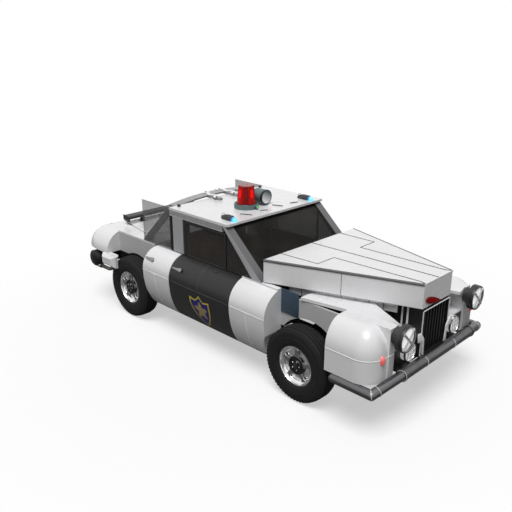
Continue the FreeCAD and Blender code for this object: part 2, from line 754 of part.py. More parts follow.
def cabin_pillars():
    half = S.glass_half
    screen = prism("screen_pillar", "xz", [
        (S.screen_foot - S.pillar_foot, S.base_height), (S.screen_foot, S.base_height),
        (S.screen_head, roof_under), (S.screen_head - S.pillar_head, roof_under),
    ], half - S.rail_width, S.rail_width)
    upper = box("middle_pillar_high", (S.pillar_rear, S.pillar_front), (half - S.rail_width, half),
                (S.base_height, fascia_low))
    lower = box("middle_pillar_low", (S.pillar_rear, S.pillar_front), (half - S.rail_width, S.cabin_half),
                (floor_z + 40, S.base_height))
    middle = joined("middle_pillar", [upper, lower])
    lean = 34
    rear = prism("rear_pillar", "xz", [
        (S.rear_glass_foot - lean, belt), (S.rear_glass_foot + lean, belt),
        (S.roof_rear, roof_under), (S.roof_rear - lean * 1.6, roof_under),
    ], half - S.rail_width, S.rail_width - S.glass_thickness)
    keep(both("pillars_all", with_mirrors([screen, middle, rear])), "cabin_pillars")


def glass():
    half = S.glass_half
    thick = S.glass_thickness
    inner = half - S.rail_width
    pane = prism("screen_pane", "xz", [
        (S.screen_foot - 14 - thick * 1.5, S.base_height), (S.screen_foot - 14, S.base_height),
        (S.screen_head - 14, roof_under), (S.screen_head - 14 - thick * 1.5, roof_under),
    ], -inner, inner * 2)
    keep(pane, "windscreen")
    start = frame_front + S.swing_gap
    quarter = prism("quarter_pane", "xz", [
        (start, S.base_height + 2), (S.screen_foot - S.pillar_foot - 3, S.base_height + 2),
        (start, S.base_height + 2 + (S.screen_foot - S.pillar_foot - 3 - start) * 1.07),
    ], half - 12, thick)
    keep(pair("quarter_panes", quarter), "front_quarter_glass")
    side = prism("rear_side_pane", "xz", [
        (S.rear_glass_foot, belt), (cabin_rear - 8, belt), (cabin_rear - 8, S.base_height),
        (S.pillar_rear, S.base_height), (S.pillar_rear, fascia_low), (S.roof_rear, fascia_low),
        (S.roof_rear, S.roof_height), (S.rear_glass_foot, S.roof_height),
    ], half - thick, thick)
    keep(pair("rear_side_panes", side), "rear_side_glass")
    back = prism("rear_pane", "xz", [
        (S.rear_glass_foot + 10, belt), (S.rear_glass_foot + 24, belt),
        (S.roof_rear, roof_under), (S.roof_rear - 14, roof_under),
    ], -inner, inner * 2)
    keep(back, "rear_window")


# ---- front end
def cowl_top():
    half = S.cabin_half
    shelf = box("cowl_shelf", (S.firewall_front - 80, S.firewall_front + 30), (-half, half),
                (S.base_height - 22, S.base_height - 1))
    inner = S.glass_half - S.rail_width - 10
    wall = box("cowl_wall", (hood_pin_x - 9, hood_pin_x), (-inner, inner), (S.base_height - 1, hood_pin_z))
    pin = rod("hood_pin", "y", S.hood_rear - hood_pin_x - S.seat_gap, 140, hood_pin_x, 360, hood_pin_z)
    keep(joined("cowl_all", [shelf, wall, pin, mirrored("hood_pin_right", pin)]), "cowl_top")


def hood_block(inset, drop_top, drop_bottom):
    """The tapered hood as one block, its faces moved in by inset."""
    rows = []
    for x, half, top in (
        (S.hood_rear.value, S.hood_rear_half.value, S.hood_rear_top.value),
        (S.hood_front.value - inset, S.hood_front_half.value, S.hood_front_top.value),
    ):
        wide = half - inset
        low = top - S.hood_side.value - drop_bottom
        high = top - drop_top
        corners = [Vector(x, -wide, low), Vector(x, wide, low), Vector(x, wide, high), Vector(x, -wide, high)]
        rows.append(Part.makePolygon(corners + corners[:1]))
    return Part.makeLoft(rows, True, True)


def hood():
    wall = S.hood_wall.value
    shell = hood_block(0, 0, 0).cut(hood_block(wall, wall, 5))
    keep(shaped("hood_shell", shell), "hood")


def grille():
    half = S.grille_half
    low = frame_top
    wall = S.grille_wall
    outer = box("shell_outer", (S.grille_rear, S.grille_front), (-half, half), (low, S.grille_top))
    inner = box("shell_inner", (S.grille_rear + wall, S.grille_front + 10), (wall - half, half - wall),
                (low + wall, S.grille_top - wall))
    keep(less("grille_shell_all", outer, inner), "grille_shell")
    bars = []
    pitch = (half * 2 - wall * 2) / 9
    for index in range(8):
        middle = wall - half + pitch * (index + 1)
        side = (middle - S.grille_bar / 2, middle + S.grille_bar / 2)
        bars.append(box("grille_bar_%d" % index, (S.grille_front - 30, S.grille_front - 12), side,
                        (low + wall, S.grille_top - wall)))
    plate = box("apron", (S.apron_front - 18, S.apron_front), (S.grille_half, S.fender_inner),
                (frame_top, S.apron_top))
    keep(both("grille_bars_all", bars + [plate, mirrored("apron_right", plate)]), "grille_bars")


def front_fenders():
    """Round nose with a flat-topped inner strip, cut away round the tyre."""
    corner = S.fender_corner
    mid_x = S.fender_front - corner
    mid_y = S.body_half - corner
    rise = belt - S.waist_height
    inner = S.fender_inner
    height = (S.fender_low, S.waist_height)
    low = box("nose_low", (S.fender_rear, mid_x), (inner, S.body_half), height)
    low_front = box("nose_low_front", (mid_x, S.fender_front), (inner, mid_y), height)
    low_round = rod("nose_low_round", "z", corner, S.waist_height - S.fender_low, mid_x, mid_y, S.fender_low)
    ball = dome("nose_dome", UP, (corner, corner, rise), (mid_x, mid_y, S.waist_height))
    ridge = box("nose_ridge", (S.fender_rear, ridge_end), (inner, S.fender_ridge), (S.fender_low, S.wing_top))
    side_skin = quarter_round("nose_side", "x", S.fender_rear, mid_x, mid_y, S.waist_height, corner, rise)
    front_skin = quarter_round("nose_front", "y", inner, mid_y, mid_x, S.waist_height, corner, rise)
    fill = box("nose_fill", (S.fender_rear, mid_x), (inner, mid_y), (S.waist_height, belt))
    nose_all = joined("nose_all", [low, low_front, low_round, ball, ridge, side_skin, front_skin, fill])
    arch = rod("nose_arch", "y", arch_radius, 1000, front_axle_x, 300, hub_z)
    inside = box("nose_inside", (S.fender_rear, nose), (0, inner), (S.fender_low, S.wing_top))
    fender = less("fender_left", less("nose_outside", nose_all, inside), arch)
    keep(pair("fenders_all", fender), "front_fenders")


def quarter_round(name, axis, start, end, across, up, wide, tall):
    """A quarter of an oval bar: along x it falls outward, along y it falls forward."""
    a, b = number(wide), number(tall)
    length = number(end) - number(start)
    squeeze = FreeCAD.Matrix()
    squeeze.scale(1, 1, b / a)
    if axis == "x":
        origin = Vector(number(start), number(across), 0)
        bar = Part.makeCylinder(a, length, origin, Vector(1, 0, 0))
        limit = Part.makeBox(length, a + 1, b + 1, origin)
    else:
        origin = Vector(number(across), number(start), 0)
        bar = Part.makeCylinder(a, length, origin, Vector(0, 1, 0))
        limit = Part.makeBox(a + 1, length, b + 1, origin)
    if a != b:
        bar = bar.transformGeometry(squeeze)
    bar = bar.common(limit)
    bar.translate(Vector(0, 0, number(up)))
    return shaped(name, bar)


def wheel_walls():
    """Inner fender plates with the wheel's arch cut in them, front and rear."""
    front = box("front_wall", (S.panel_front, S.fender_rear), (S.cabin_half - S.inner_wall, S.cabin_half),
                (S.fender_low + 100, S.wing_top - 40))
    arch = rod("front_wall_arch", "y", arch_radius, 900, front_axle_x, 200, hub_z)
    front = less("front_wall_cut", front, arch)
    rear = box("rear_wall", (S.fender_face, cabin_rear - 8), (S.glass_half - S.inner_wall, S.glass_half),
               (S.waist_height, belt - S.deck_plate))
    rear_arch = rod("rear_wall_arch", "y", rear_arch_radius, 900, rear_axle_x, 200, hub_z)
    rear = less("rear_wall_cut", rear, rear_arch)
    keep(both("walls_all", with_mirrors([front, rear])), "wheel_walls")


def catwalks():
    """Fender tops that narrow toward the grille, and a low shelf beside it."""
    plate = S.catwalk_plate.value
    rows = []
    for x, outer, crest, inner, drop in (
        (S.catwalk_rear, S.cabin_half + 18, S.fender_inner + 4, S.fender_inner - 136, 20),
        (S.fender_rear + 90, S.fender_inner, S.fender_inner - 40, S.fender_inner - 262, 0),
        (S.fender_front, S.fender_inner, S.fender_inner - 30, S.fender_inner - 96, 25),
    ):
        x, outer, crest, inner = [number(size) for size in (x, outer, crest, inner)]
        top = S.wing_top.value
        rows.append([
            Vector(x, outer, top - plate), Vector(x, outer, top), Vector(x, crest, top),
            Vector(x, inner, top - drop), Vector(x, inner, top - drop - plate), Vector(x, crest, top - plate),
        ])
    solids = []
    for first, second in zip(rows[:-1], rows[1:]):
        wires = [Part.makePolygon(row + row[:1]) for row in (first, second)]
        solids.append(Part.makeLoft(wires, True, True))
    shape = solids[0].fuse(solids[1:])
    fender = Part.makeBox(ridge_end.value - S.fender_rear.value, 400, 600,
                          Vector(S.fender_rear.value, S.fender_inner.value, S.fender_low.value))
    walk = shaped("catwalk_left", shape.cut(fender))
    shelf = box("grille_shelf", (S.grille_rear + 30, S.apron_front), (S.grille_half, S.fender_inner),
                (S.apron_top, S.apron_top + 15))
    keep(both("catwalks_all", with_mirrors([walk, shelf])), "catwalks")


def headlamps():
    y, z = S.lamp_half, S.lamp_height
    drum = rod("drum", "x", S.drum_radius, S.drum_depth, S.drum_front - S.drum_depth, y, z)
    stem = rod("drum_stem", "x", S.drum_stem, S.drum_front - ridge_end - 1, ridge_end, y, z)
    keep(pair("drums_all", joined("drum_left", [drum, stem])), "headlamp_housings")
    lens = dome("lens", AHEAD, (S.lens_depth, S.lamp_radius, S.lamp_radius),
                (S.drum_front, S.lamp_half, S.lamp_height))
    keep(pair("lenses_all", lens), "headlamp_lenses")
    fog = rod("fog_can", "x", S.fog_radius, S.fog_depth, S.apron_front, S.fog_half, S.fog_height)
    bulge = dome("fog_dome", AHEAD, (16, S.fog_radius, S.fog_radius),
                 (S.apron_front + S.fog_depth, S.fog_half, S.fog_height))
    keep(pair("fogs_all", joined("fog_left", [fog, bulge])), "fog_lamps")
    marker = stretched("marker", Part.makeSphere(1), (40, 30, 50),
                       (S.fender_front - 16, S.body_half - 167, S.waist_height - 10))
    skin = box("marker_flat", (0, S.fender_front), (S.fender_inner, S.body_half - S.fender_corner), (0, 2000))
    corner = rod("marker_corner", "z", S.fender_corner, 1600, S.fender_front - S.fender_corner,
                 S.body_half - S.fender_corner, 0)
    bed = joined("marker_bed", [skin, corner])
    keep(pair("markers_all", less("marker_left", marker, bed)), "marker_lamps")


def pipe(start, end, radius):
    """A straight round bar between two points, with a ball at each end."""
    run = end - start
    bar = Part.makeCylinder(radius, run.Length, start, run)
    return bar.fuse([Part.makeSphere(radius, start), Part.makeSphere(radius, end)])


def front_bumper():
    thick = S.bumper_radius.value
    thin = S.corner_radius.value
    x = number(bumper_x)
    z = S.bumper_height.value
    front = S.frame_front.value
    middle = Vector(x, S.bumper_half.value, z)
    corner = Vector(x - S.corner_back.value, S.corner_half.value, z - S.corner_drop.value)
    back = Vector(S.side_pipe_rear.value, corner.y, corner.z)
    solids = [
        Part.makeCylinder(thick, middle.y, Vector(x, 0, z), Vector(0, 1, 0)),
        pipe(middle, corner, thin),
        pipe(corner, back, thin),
        Part.makeCylinder(thick + 5, 16, middle - Vector(0, 16, 0), Vector(0, 1, 0)),
        Part.makeBox(x - front, S.frame_rail.value, 60, Vector(front, S.frame_inner.value, z - thick)),
    ]
    half = shaped("bumper_left", solids[0].fuse(solids[1:]))
    keep(joined("bumper_all", [half, mirrored("bumper_right", half)]), "front_bumper")


# ---- rear end
def rear_deck():
    plate = prism("deck_skin", "xy", [
        (cabin_rear - 8, S.glass_half), (S.fender_face, S.glass_half), (S.fender_face, S.tail_inner),
        (S.tail_start, S.tail_inner), (S.tail_start, -S.tail_inner), (S.fender_face, -S.tail_inner),
        (S.fender_face, -S.glass_half), (cabin_rear - 8, -S.glass_half),
    ], belt - S.deck_plate, S.deck_plate)
    hole = prism("deck_hole", "xy", [
        (S.lid_front, S.lid_front_half), (S.tail_start + 20, S.lid_rear_half),
        (S.tail_start + 20, -S.lid_rear_half), (S.lid_front, -S.lid_front_half),
    ], belt - 100, 200)
    rest = box("lid_rest", (S.lid_front - 40, S.lid_front + 30), (-480, 480),
               (belt - S.deck_plate - 6, belt - S.lid_plate / 2 - S.seat_gap))
    pins = []
    for name, side in SIDES:
        start = 340 * side - 50
        radius = lid_pin_x - S.lid_front + S.seam_gap - S.seat_gap
        pins.append(rod("lid_pin_" + name, "y", radius, 100, lid_pin_x, start, lid_pin_z))
        pins.append(box("lid_ear_" + name, (lid_pin_x, lid_pin_x + 14), (start, start + 100),
                        (belt - S.deck_plate, lid_pin_z)))
    keep(joined("deck_all", [less("deck_open", plate, hole), rest, tail_round()] + pins), "rear_deck")


def trunk_tub():
    half = S.tub_half
    wall = S.tub_wall
    top = belt - S.deck_plate
    outer = box("tub_outer", (S.tub_rear, cabin_rear), (-half, half), (frame_top, top))
    inner = box("tub_inner", (S.tub_rear + wall, cabin_rear - wall), (wall - half, half - wall),
                (frame_top + wall, top + 10))
    keep(less("tub_all", outer, inner), "trunk_tub")


def rear_fenders():
    long = S.tail_start - tail
    side = quarter_round("fender_side", "x", S.tail_start, S.fender_face, S.tail_inner, S.waist_height,
                         S.side_round, S.side_round)
    wide = S.side_round
    end = dome("fender_end", UP, (wide, long, wide), (S.tail_start, S.tail_inner, S.waist_height), 90)
    end.Placement.Rotation = FreeCAD.Rotation(UP, 90)
    keep(pair("rear_fenders_all", joined("rear_fender_left", [side, end])), "rear_fenders")


def tail_round():
    """The round end of the tail, between the rear fenders."""
    long = S.tail_start - tail
    shape = quarter_round("tail_end", "y", -S.tail_inner, S.tail_inner, 0, 0, long, S.side_round)
    shape.Placement = FreeCAD.Placement(Vector(S.tail_start.value, 0, S.waist_height.value),
                                        FreeCAD.Rotation(UP, 180))
    return shape


def trunk_lid():
    gap = S.seam_gap
    plate = prism("lid_skin", "xy", [
        (S.lid_front - gap, S.lid_front_half - gap), (S.tail_start + 20 + gap, S.lid_rear_half - gap),
        (S.tail_start + 20 + gap, gap - S.lid_rear_half), (S.lid_front - gap, gap - S.lid_front_half),
    ], belt - S.lid_plate / 2, S.lid_plate)
    keep(plate, "trunk_lid")
    top = belt + S.lid_plate / 2
    rear = S.tail_start + 40
    blade = prism("wing_blade", "xz", [
        (rear, top + S.wing_rise), (rear + S.wing_chord, top + S.wing_rise + 14),
        (rear + S.wing_chord * 0.7, top + S.wing_rise + 44), (rear, top + S.wing_rise + 66),
    ], -S.wing_half, S.wing_half * 2)
    foot = box("wing_foot", (rear + 20, rear + 90), (S.lid_rear_half - 120, S.lid_rear_half - 90),
               (top, top + S.wing_rise + 20))
    keep(joined("wing_all", [blade, foot, mirrored("wing_foot_right", foot)]), "rear_wing")


def rear_bumper():
    half = S.rear_pipe_half
    tube = rod("rear_pipe", "y", S.rear_pipe_radius, half * 2, S.rear_pipe_place, -half, S.rear_pipe_height)
    arm = box("rear_arm", (S.rear_pipe_place, S.frame_rear), (S.frame_inner, frame_outer),
              (frame_top - 60, frame_top))
    keep(joined("rear_bumper_all", [tube, arm, mirrored("rear_arm_right", arm)]), "rear_bumper")
    half = S.overall_width / 2
    rear = S.fender_face - 80
    front = S.fender_face + 200
    low = S.waist_height - 145
    high = S.waist_height
    inner = S.body_half - 65
    cut = S.cap_chamfer
    level = prism("cap_level", "xy", [
        (rear + cut, inner), (front - cut * 2, inner), (front, inner + cut), (front, half - cut),
        (front - cut * 2, half), (rear + cut, half), (rear, half - cut), (rear, inner + cut),
    ], low, high - low)
    upright = prism("cap_upright", "yz", [
        (inner, low), (half - cut, low), (half, low + cut),
        (half, high - cut), (half - cut, high), (inner, high),
    ], rear, front - rear)
    arch = rod("cap_arch", "y", rear_arch_radius, 300, rear_axle_x, wheel_y + S.tyre_width / 2 - 290, hub_z)
    cap = less("cap_left", common("cap_solid", level, upright), arch)
    keep(pair("bumper_caps_all", cap), "rear_bumper_caps")


def tail_lamps():
    lamp = stretched("tail_lamp", Part.makeSphere(1), (40, 60, 34),
                     (tail + 80, S.tail_inner - 130, S.waist_height + 150))
    keep(pair("tail_lamps_all", less("tail_lamp_left", lamp, doc.getObject("tail_end"))), "tail_lamps")


def route(points, radius):
    """A round pipe through points, flat at its two ends and round at its bends."""
    spots = [Vector(*[number(size) for size in point]) for point in points]
    solids = [Part.makeCylinder(radius, (end - start).Length, start, end - start)
              for start, end in zip(spots[:-1], spots[1:])]
    solids += [Part.makeSphere(radius, spot) for spot in spots[1:-1]]
    return solids[0].fuse(solids[1:])


def exhaust_pipe():
    """Down from the engine, under the floor, over the rear axle, then out beside the rear bumper."""
    radius = S.exhaust_radius.value
    y = -S.exhaust_half
    low = S.exhaust_height
    over = exhaust_over
    last = rear_axle_x - rear_arch_radius - 25
    down = (S.engine_rear + 60, 30 - S.engine_half)
    shape = route([
        down + (engine_low,), down + (low + 10,), (S.frame_step - 30, y, low),
        (S.frame_step_rear + 60, y, low), (S.frame_step_rear - 90, y, over),
        (rear_axle_x - 245, y, over), (last + 80, y, S.tip_height), (last, y, S.tip_height),
    ], radius)
    middle = Vector(S.bench_front.value, number(y), low.value)
    can = Part.makeCylinder(S.silencer_radius.value, S.silencer_length.value, middle, AHEAD)
    end = route([
        (last, y, S.tip_height), (last - 30, y, S.tip_height), (last - 150, -S.tip_half, S.tip_height),
        (S.tip_rear, -S.tip_half, S.tip_height),
    ], radius)
    parts = [shaped("exhaust_front", shape.fuse(can)), shaped("exhaust_end", end)]
    keep(both("exhaust_all", parts), "exhaust_pipe")


# ---- cabin
def seat(name, x, y, top):
    """A cushion on its plinth with a backrest behind it."""
    base = S.seat_base
    cushion = box("cushion_" + name, (x[0] + S.backrest - 20, x[1]), y, (base, base + S.seat_depth))
    back = box("back_" + name, (x[0], x[0] + S.backrest), y, (base + 60, top))
    return joined("seat_" + name, [cushion, back])


def seats():
    fronts = []
    for name, side in SIDES:
        middle = S.seat_half * side
        wide = S.seat_width / 2
        fronts.append(seat(name, (S.seat_back, S.seat_front), (middle - wide, middle + wide), S.seat_top))
    keep(both("front_seats_all", fronts), "front_seats")
    keep(seat("rear", (S.bench_back, S.bench_front), (-S.bench_half, S.bench_half), S.bench_top), "rear_seat")


def dashboard():
    front = S.firewall_front - S.floor_thickness
    keep(box("dash", (front - S.dash_depth, front), (-S.dash_half, S.dash_half), (S.dash_low, S.dash_top)),
         "dashboard")


def steering_wheel():
    """Ring, boss and spoke on a column that ends against the dashboard."""
    middle = Vector(S.steer_place.value, S.seat_half.value, S.steer_height.value)
    lean = FreeCAD.Rotation(Vector(0, 1, 0), -S.steer_lean.value)
    axis = lean.multVec(UP)
    dash = number(S.firewall_front - S.floor_thickness - S.dash_depth) - middle.x
    column = Part.makeCylinder(22, 400, middle, -axis)
    column = column.common(Part.makeBox(dash, 200, 1000, middle - Vector(0, 100, 500)))
    radius = S.steer_radius.value
    ring = Part.makeTorus(radius, S.steer_grip.value)
    spoke = Part.makeBox(24, radius * 2, S.steer_grip.value, Vector(-12, -radius, -S.steer_grip.value / 2))
    ring = ring.fuse(spoke)
    ring.Placement = FreeCAD.Placement(middle, lean)
    boss = Part.makeCylinder(45, 30, middle - axis * 15, axis)
    keep(shaped("steering_all", ring.fuse([column, boss])), "steering_wheel")


# ---- roof
def beacon():
    top = S.roof_height
    base = rod("beacon_base_can", "z", S.beacon_radius, S.beacon_base, S.beacon_place, S.beacon_side, top)
    keep(base, "beacon_base")
    dome = doc.addObject("Part::Cone", "beacon_cone")
    bind(dome, "Radius1", S.dome_radius)
    bind(dome, "Radius2", S.dome_top_radius)
    bind(dome, "Height", S.dome_height)
    place(dome, S.beacon_place, S.beacon_side, top + S.beacon_base)
    keep(dome, "beacon_dome")
    rear = S.beacon_place - S.horn_length * 0.4
    drum = rod("horn_drum", "x", S.horn_radius, S.horn_length, rear, S.horn_side, top + S.horn_radius + 12)
    foot = box("horn_foot", (S.beacon_place - 40, S.beacon_place + 70), (S.horn_side - 50, S.horn_side + 50),
               (top, top + 60))
    keep(joined("horn_all", [drum, foot]), "siren_horn")


def roof_pods():
    top = S.roof_height
    radii = (S.pod_length / 2, S.pod_width / 2, S.pod_height)
    side = (S.pod_half - S.pod_width, S.pod_half + S.pod_width)
    ends = (S.pod_place - S.pod_length, S.pod_split, S.pod_place + S.pod_length)
    for name, label, x in (
        ("pod", "roof_pods", (ends[0], ends[1])),
        ("pod_lens", "roof_pod_lenses", (ends[1], ends[2])),
    ):
        ball = dome(name, UP, radii, (S.pod_place, S.pod_half, top))
        limit = box(name + "_limit", x, side, (top - 10, top + 200))
        keep(pair(name + "_pair", common(name + "_left", ball, limit)), label)


def roof_wing():
    """Arched blade behind the roof, on two brackets."""
    top = S.roof_height.value
    half = S.roof_wing_half.value
    crown = S.wing_top_rise.value
    lows = (top - 32, top + crown - 20, top - 32)
    highs = (top - 20, top + crown, top - 20)
    edges = []
    for heights in (lows, highs):
        spots = [Vector(0, y, z) for y, z in zip((-half, 0, half), heights)]
        edges.append(Part.Arc(*spots).toShape())
    edges += [Part.makeLine(Vector(0, y, lows[0]), Vector(0, y, highs[0])) for y in (-half, half)]
    blade = Part.Face(Part.Wire(Part.__sortEdges__(edges))).extrude(Vector(S.roof_wing_chord.value, 0, 0))
    rear = S.roof_rear.value - 35 - S.roof_wing_chord.value
    blade.translate(Vector(rear, 0, 0))
    wide = S.bracket_width.value
    long = S.bracket_front.value - rear
    bars = [Part.makeBox(long, wide, 28, Vector(rear, side * S.bracket_half.value - wide / 2, top))
            for side in (LEFT, RIGHT)]
    keep(shaped("roof_wing_all", blade.fuse(bars)), "roof_wing")


def rear_view_mirror():
    x = S.mirror_place
    stem = box("mirror_stem", (x, x + 12), (-12, 12), (roof_under - 140, roof_under - 45))
    glass_box = box("mirror_glass", (x - 10, x + 2), (-S.mirror_half, S.mirror_half),
                    (roof_under - 175, roof_under - 120))
    keep(joined("mirror_all", [stem, glass_box]), "rear_view_mirror")


for build in (
    chassis_frame, floor_pan, engine_block, front_axle, rear_axle, knuckles, wheels,
    side_panels, doors, door_windows, roof_panel, cabin_pillars, glass,
    cowl_top, hood, grille, front_fenders, wheel_walls, catwalks, headlamps, front_bumper,
    rear_deck, trunk_tub, rear_fenders, trunk_lid, rear_bumper, tail_lamps, exhaust_pipe,
    seats, dashboard, steering_wheel, beacon, roof_pods, roof_wing, rear_view_mirror,
):
    build()

doc.recompute()
for item in doc.Objects:
    if "Invalid" in item.State or "Error" in item.State:
        raise RuntimeError("%s: %s" % (item.Name, item.State))
os.makedirs("parts", exist_ok=True)
for item in pieces:
    shape = item.Shape
    if shape.isNull() or not shape.isValid() or not shape.Solids:
        raise RuntimeError("%s has no valid solid" % item.Label)
    shape.exportStep(os.path.join("parts", item.Label + ".step"))
    print(item.Label, len(shape.Solids), round(shape.Volume / 1e6, 3))
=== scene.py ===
from math import atan2, cos, pi, radians, sin

import bpy
from mathutils import Matrix, Vector


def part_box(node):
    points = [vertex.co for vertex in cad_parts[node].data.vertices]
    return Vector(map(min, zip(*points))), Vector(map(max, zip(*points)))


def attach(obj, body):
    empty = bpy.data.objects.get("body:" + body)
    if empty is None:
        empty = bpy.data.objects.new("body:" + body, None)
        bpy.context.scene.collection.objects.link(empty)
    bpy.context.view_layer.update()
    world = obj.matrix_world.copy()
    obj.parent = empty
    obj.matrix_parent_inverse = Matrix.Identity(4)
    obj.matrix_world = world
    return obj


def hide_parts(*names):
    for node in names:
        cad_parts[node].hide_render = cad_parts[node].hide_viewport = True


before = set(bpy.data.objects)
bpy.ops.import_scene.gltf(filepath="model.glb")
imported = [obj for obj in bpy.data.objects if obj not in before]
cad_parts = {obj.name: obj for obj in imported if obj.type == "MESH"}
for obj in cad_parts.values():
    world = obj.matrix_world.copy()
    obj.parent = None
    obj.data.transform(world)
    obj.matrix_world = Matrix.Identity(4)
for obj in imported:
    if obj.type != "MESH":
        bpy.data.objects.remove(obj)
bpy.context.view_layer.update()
scene = bpy.context.scene

LEFT, RIGHT = 1, -1
BOTH = (LEFT, RIGHT)
QUARTER = pi / 2


def middle(name, axis):
    """The middle of a part's box along one axis."""
    low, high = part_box(name)
    return (getattr(low, axis) + getattr(high, axis)) / 2


# ---- places, in metres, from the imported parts
shoulder_low, shoulder_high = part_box("rear_fenders")
WAIST, SIDE = shoulder_low.z, shoulder_high.y
ROUND = shoulder_high.z - WAIST
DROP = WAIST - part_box("front_left_door")[0].z
AXIS_Y = SIDE - ROUND
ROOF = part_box("beacon_base")[0].z
HUB_Z, WHEEL_Y = middle("front_left_tyre", "z"), middle("front_left_tyre", "y")
FRONT_X, REAR_X = middle("front_left_tyre", "x"), middle("rear_left_tyre", "x")
HOOD_LOW, HOOD_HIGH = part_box("hood")

FACE_ROUND = radians(38)
WELD = 0.00002
FACING_SIDE = (QUARTER, 0, 0)
FACING_FRONT = (QUARTER, 0, QUARTER)
TURN_TO = {"x": (0, QUARTER, 0), "y": (-QUARTER, 0, 0), "z": (0, 0, 0)}


# ---- modelling
def alone(piece):
    """Selects one object and nothing else."""
    bpy.ops.object.select_all(action="DESELECT")
    piece.select_set(True)
    bpy.context.view_layer.objects.active = piece
    return piece


def settled(turn=None, place=None):
    """Puts the new object's place, turn and scale into its mesh."""
    piece = alone(bpy.context.object)
    if turn:
        piece.rotation_euler, piece.location = turn, place
    bpy.ops.object.transform_apply(location=True, rotation=True, scale=True)
    return piece


def modified(piece, kind, **settings):
    """Adds one modifier and applies it."""
    alone(piece)
    modifier = piece.modifiers.new(kind, kind)
    for key, value in settings.items():
        setattr(modifier, key, value)
    bpy.ops.object.modifier_apply(modifier=modifier.name)
    return piece


def block(low, high, bevel=0.004, segments=2, side=LEFT):
    """A box between two corners, with rounded edges; its y is meant for the left side."""
    low, high = Vector(low), Vector(high)
    low.y, high.y = sorted((low.y * side, high.y * side))
    bpy.ops.object.select_all(action="DESELECT")
    bpy.ops.mesh.primitive_cube_add(size=1, location=(low + high) / 2, scale=high - low)
    return modified(settled(), "BEVEL", width=bevel, segments=segments)


def ball(centre, radii, steps=24):
    bpy.ops.object.select_all(action="DESELECT")
    bpy.ops.mesh.primitive_uv_sphere_add(segments=steps, ring_count=steps // 2, location=centre, scale=radii)
    return settled()


def drawn(points, closed, flat=False, kind="POLY"):
    """A curve through points, and its line."""
    curve = bpy.data.curves.new("part", "CURVE")
    curve.dimensions = "2D" if flat else "3D"
    line = curve.splines.new(kind)
    line.points.add(len(points) - 1)
    for knot, spot in zip(line.points, points):
        knot.co = (*spot, 1)
    line.use_cyclic_u = closed
    return curve, line


def as_mesh(curve):
    """Makes a mesh object of a curve."""
    piece = bpy.data.objects.new("part", curve)
    scene.collection.objects.link(piece)
    alone(piece)
    bpy.ops.object.convert(target="MESH")
    return bpy.context.object


def bar(points, radius, closed=False, sides=3, smooth=False):
    """A round bar along a line of points."""
    curve, line = drawn(points, closed, kind="NURBS" if smooth else "POLY")
    curve.bevel_depth = radius
    curve.bevel_resolution = sides
    curve.use_fill_caps = not closed
    if smooth:
        line.order_u = 3
        line.use_endpoint_u = not closed
    as_mesh(curve)
    return settled()


def span(first, last):
    """Two ends and the point midway."""
    return [first, [(a + b) / 2 for a, b in zip(first, last)], last]


def merged(piece):
    """Joins doubled points and turns all faces outward."""
    alone(piece)
    bpy.ops.object.mode_set(mode="EDIT")
    bpy.ops.mesh.select_all(action="SELECT")
    bpy.ops.mesh.remove_doubles(threshold=WELD)
    bpy.ops.mesh.normals_make_consistent(inside=False)
    bpy.ops.object.mode_set(mode="OBJECT")
    return piece


def plate(outline, thick, turn, place, bevel=0.0015):
    """A flat outline given a thickness, turned and put in its place."""
    curve, _ = drawn([(*spot, 0) for spot in outline], True, flat=True)
    curve.fill_mode = "BOTH"
    curve.extrude = thick / 2
    as_mesh(curve)
    return modified(merged(settled(turn, place)), "BEVEL", width=bevel, segments=2)


def lathe(outline, axis, centre, steps=48):
    """An outline of (along, radius) spun about an axis through centre."""
    closed = min(outline[0][1], outline[-1][1]) > 0.0001
    curve, _ = drawn([(radius, 0, along) for along, radius in outline], closed)
    as_mesh(curve)
    bpy.ops.object.mode_set(mode="EDIT")
    bpy.ops.mesh.select_all(action="SELECT")
    bpy.ops.mesh.spin(steps=steps, angle=2 * pi, center=(0, 0, 0), axis=(0, 0, 1))
    bpy.ops.object.mode_set(mode="OBJECT")
    return merged(settled(TURN_TO[axis], centre))


def joined(parts):
    """Makes one object of several."""
    if not isinstance(parts, list):
        return parts
    alone(parts[0])
    for part in parts[1:]:
        part.select_set(True)
    if len(parts) > 1:
        bpy.ops.object.join()
    return bpy.context.object


def copied(piece, turn):
    """A copy with its own mesh, placed by a matrix."""
    twin = piece.copy()
    twin.data = piece.data.copy()
    scene.collection.objects.link(twin)
    twin.data.transform(turn)
    return twin


def around(piece, count, axis, centre):
    """Copies of a piece, evenly round an axis, as one piece."""
    centre = Vector(centre)
    parts = [piece]
    for index in range(1, count):
        spin = Matrix.Rotation(2 * pi * index / count, 4, axis.upper())
        parts.append(copied(piece, Matrix.Translation(centre) @ spin @ Matrix.Translation(-centre)))
    return joined(parts)


def ring(centre, along, radius, thick, steps=40):
    """A thin ring about a line through centre."""
    centre, along = Vector(centre), Vector(along).normalized()
    first = along.orthogonal().normalized()
    second = along.cross(first)
    turns = [2 * pi * step / steps for step in range(steps)]
    spots = [centre + first * radius * cos(turn) + second * radius * sin(turn) for turn in turns]
    return bar(spots, thick, closed=True, sides=2)


def fit(name, parts, finish, body="body", replaces=()):
    """Makes one finished piece: its name, look, body and the nodes that it stands for."""
    piece = joined(parts)
    piece.name = piece.data.name = name
    alone(piece)
    bpy.ops.object.shade_smooth_by_angle(angle=FACE_ROUND)
    piece.data.materials.clear()
    piece.data.materials.append(finish.material)
    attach(piece, body)
    if replaces:
        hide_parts(*replaces)
    return piece


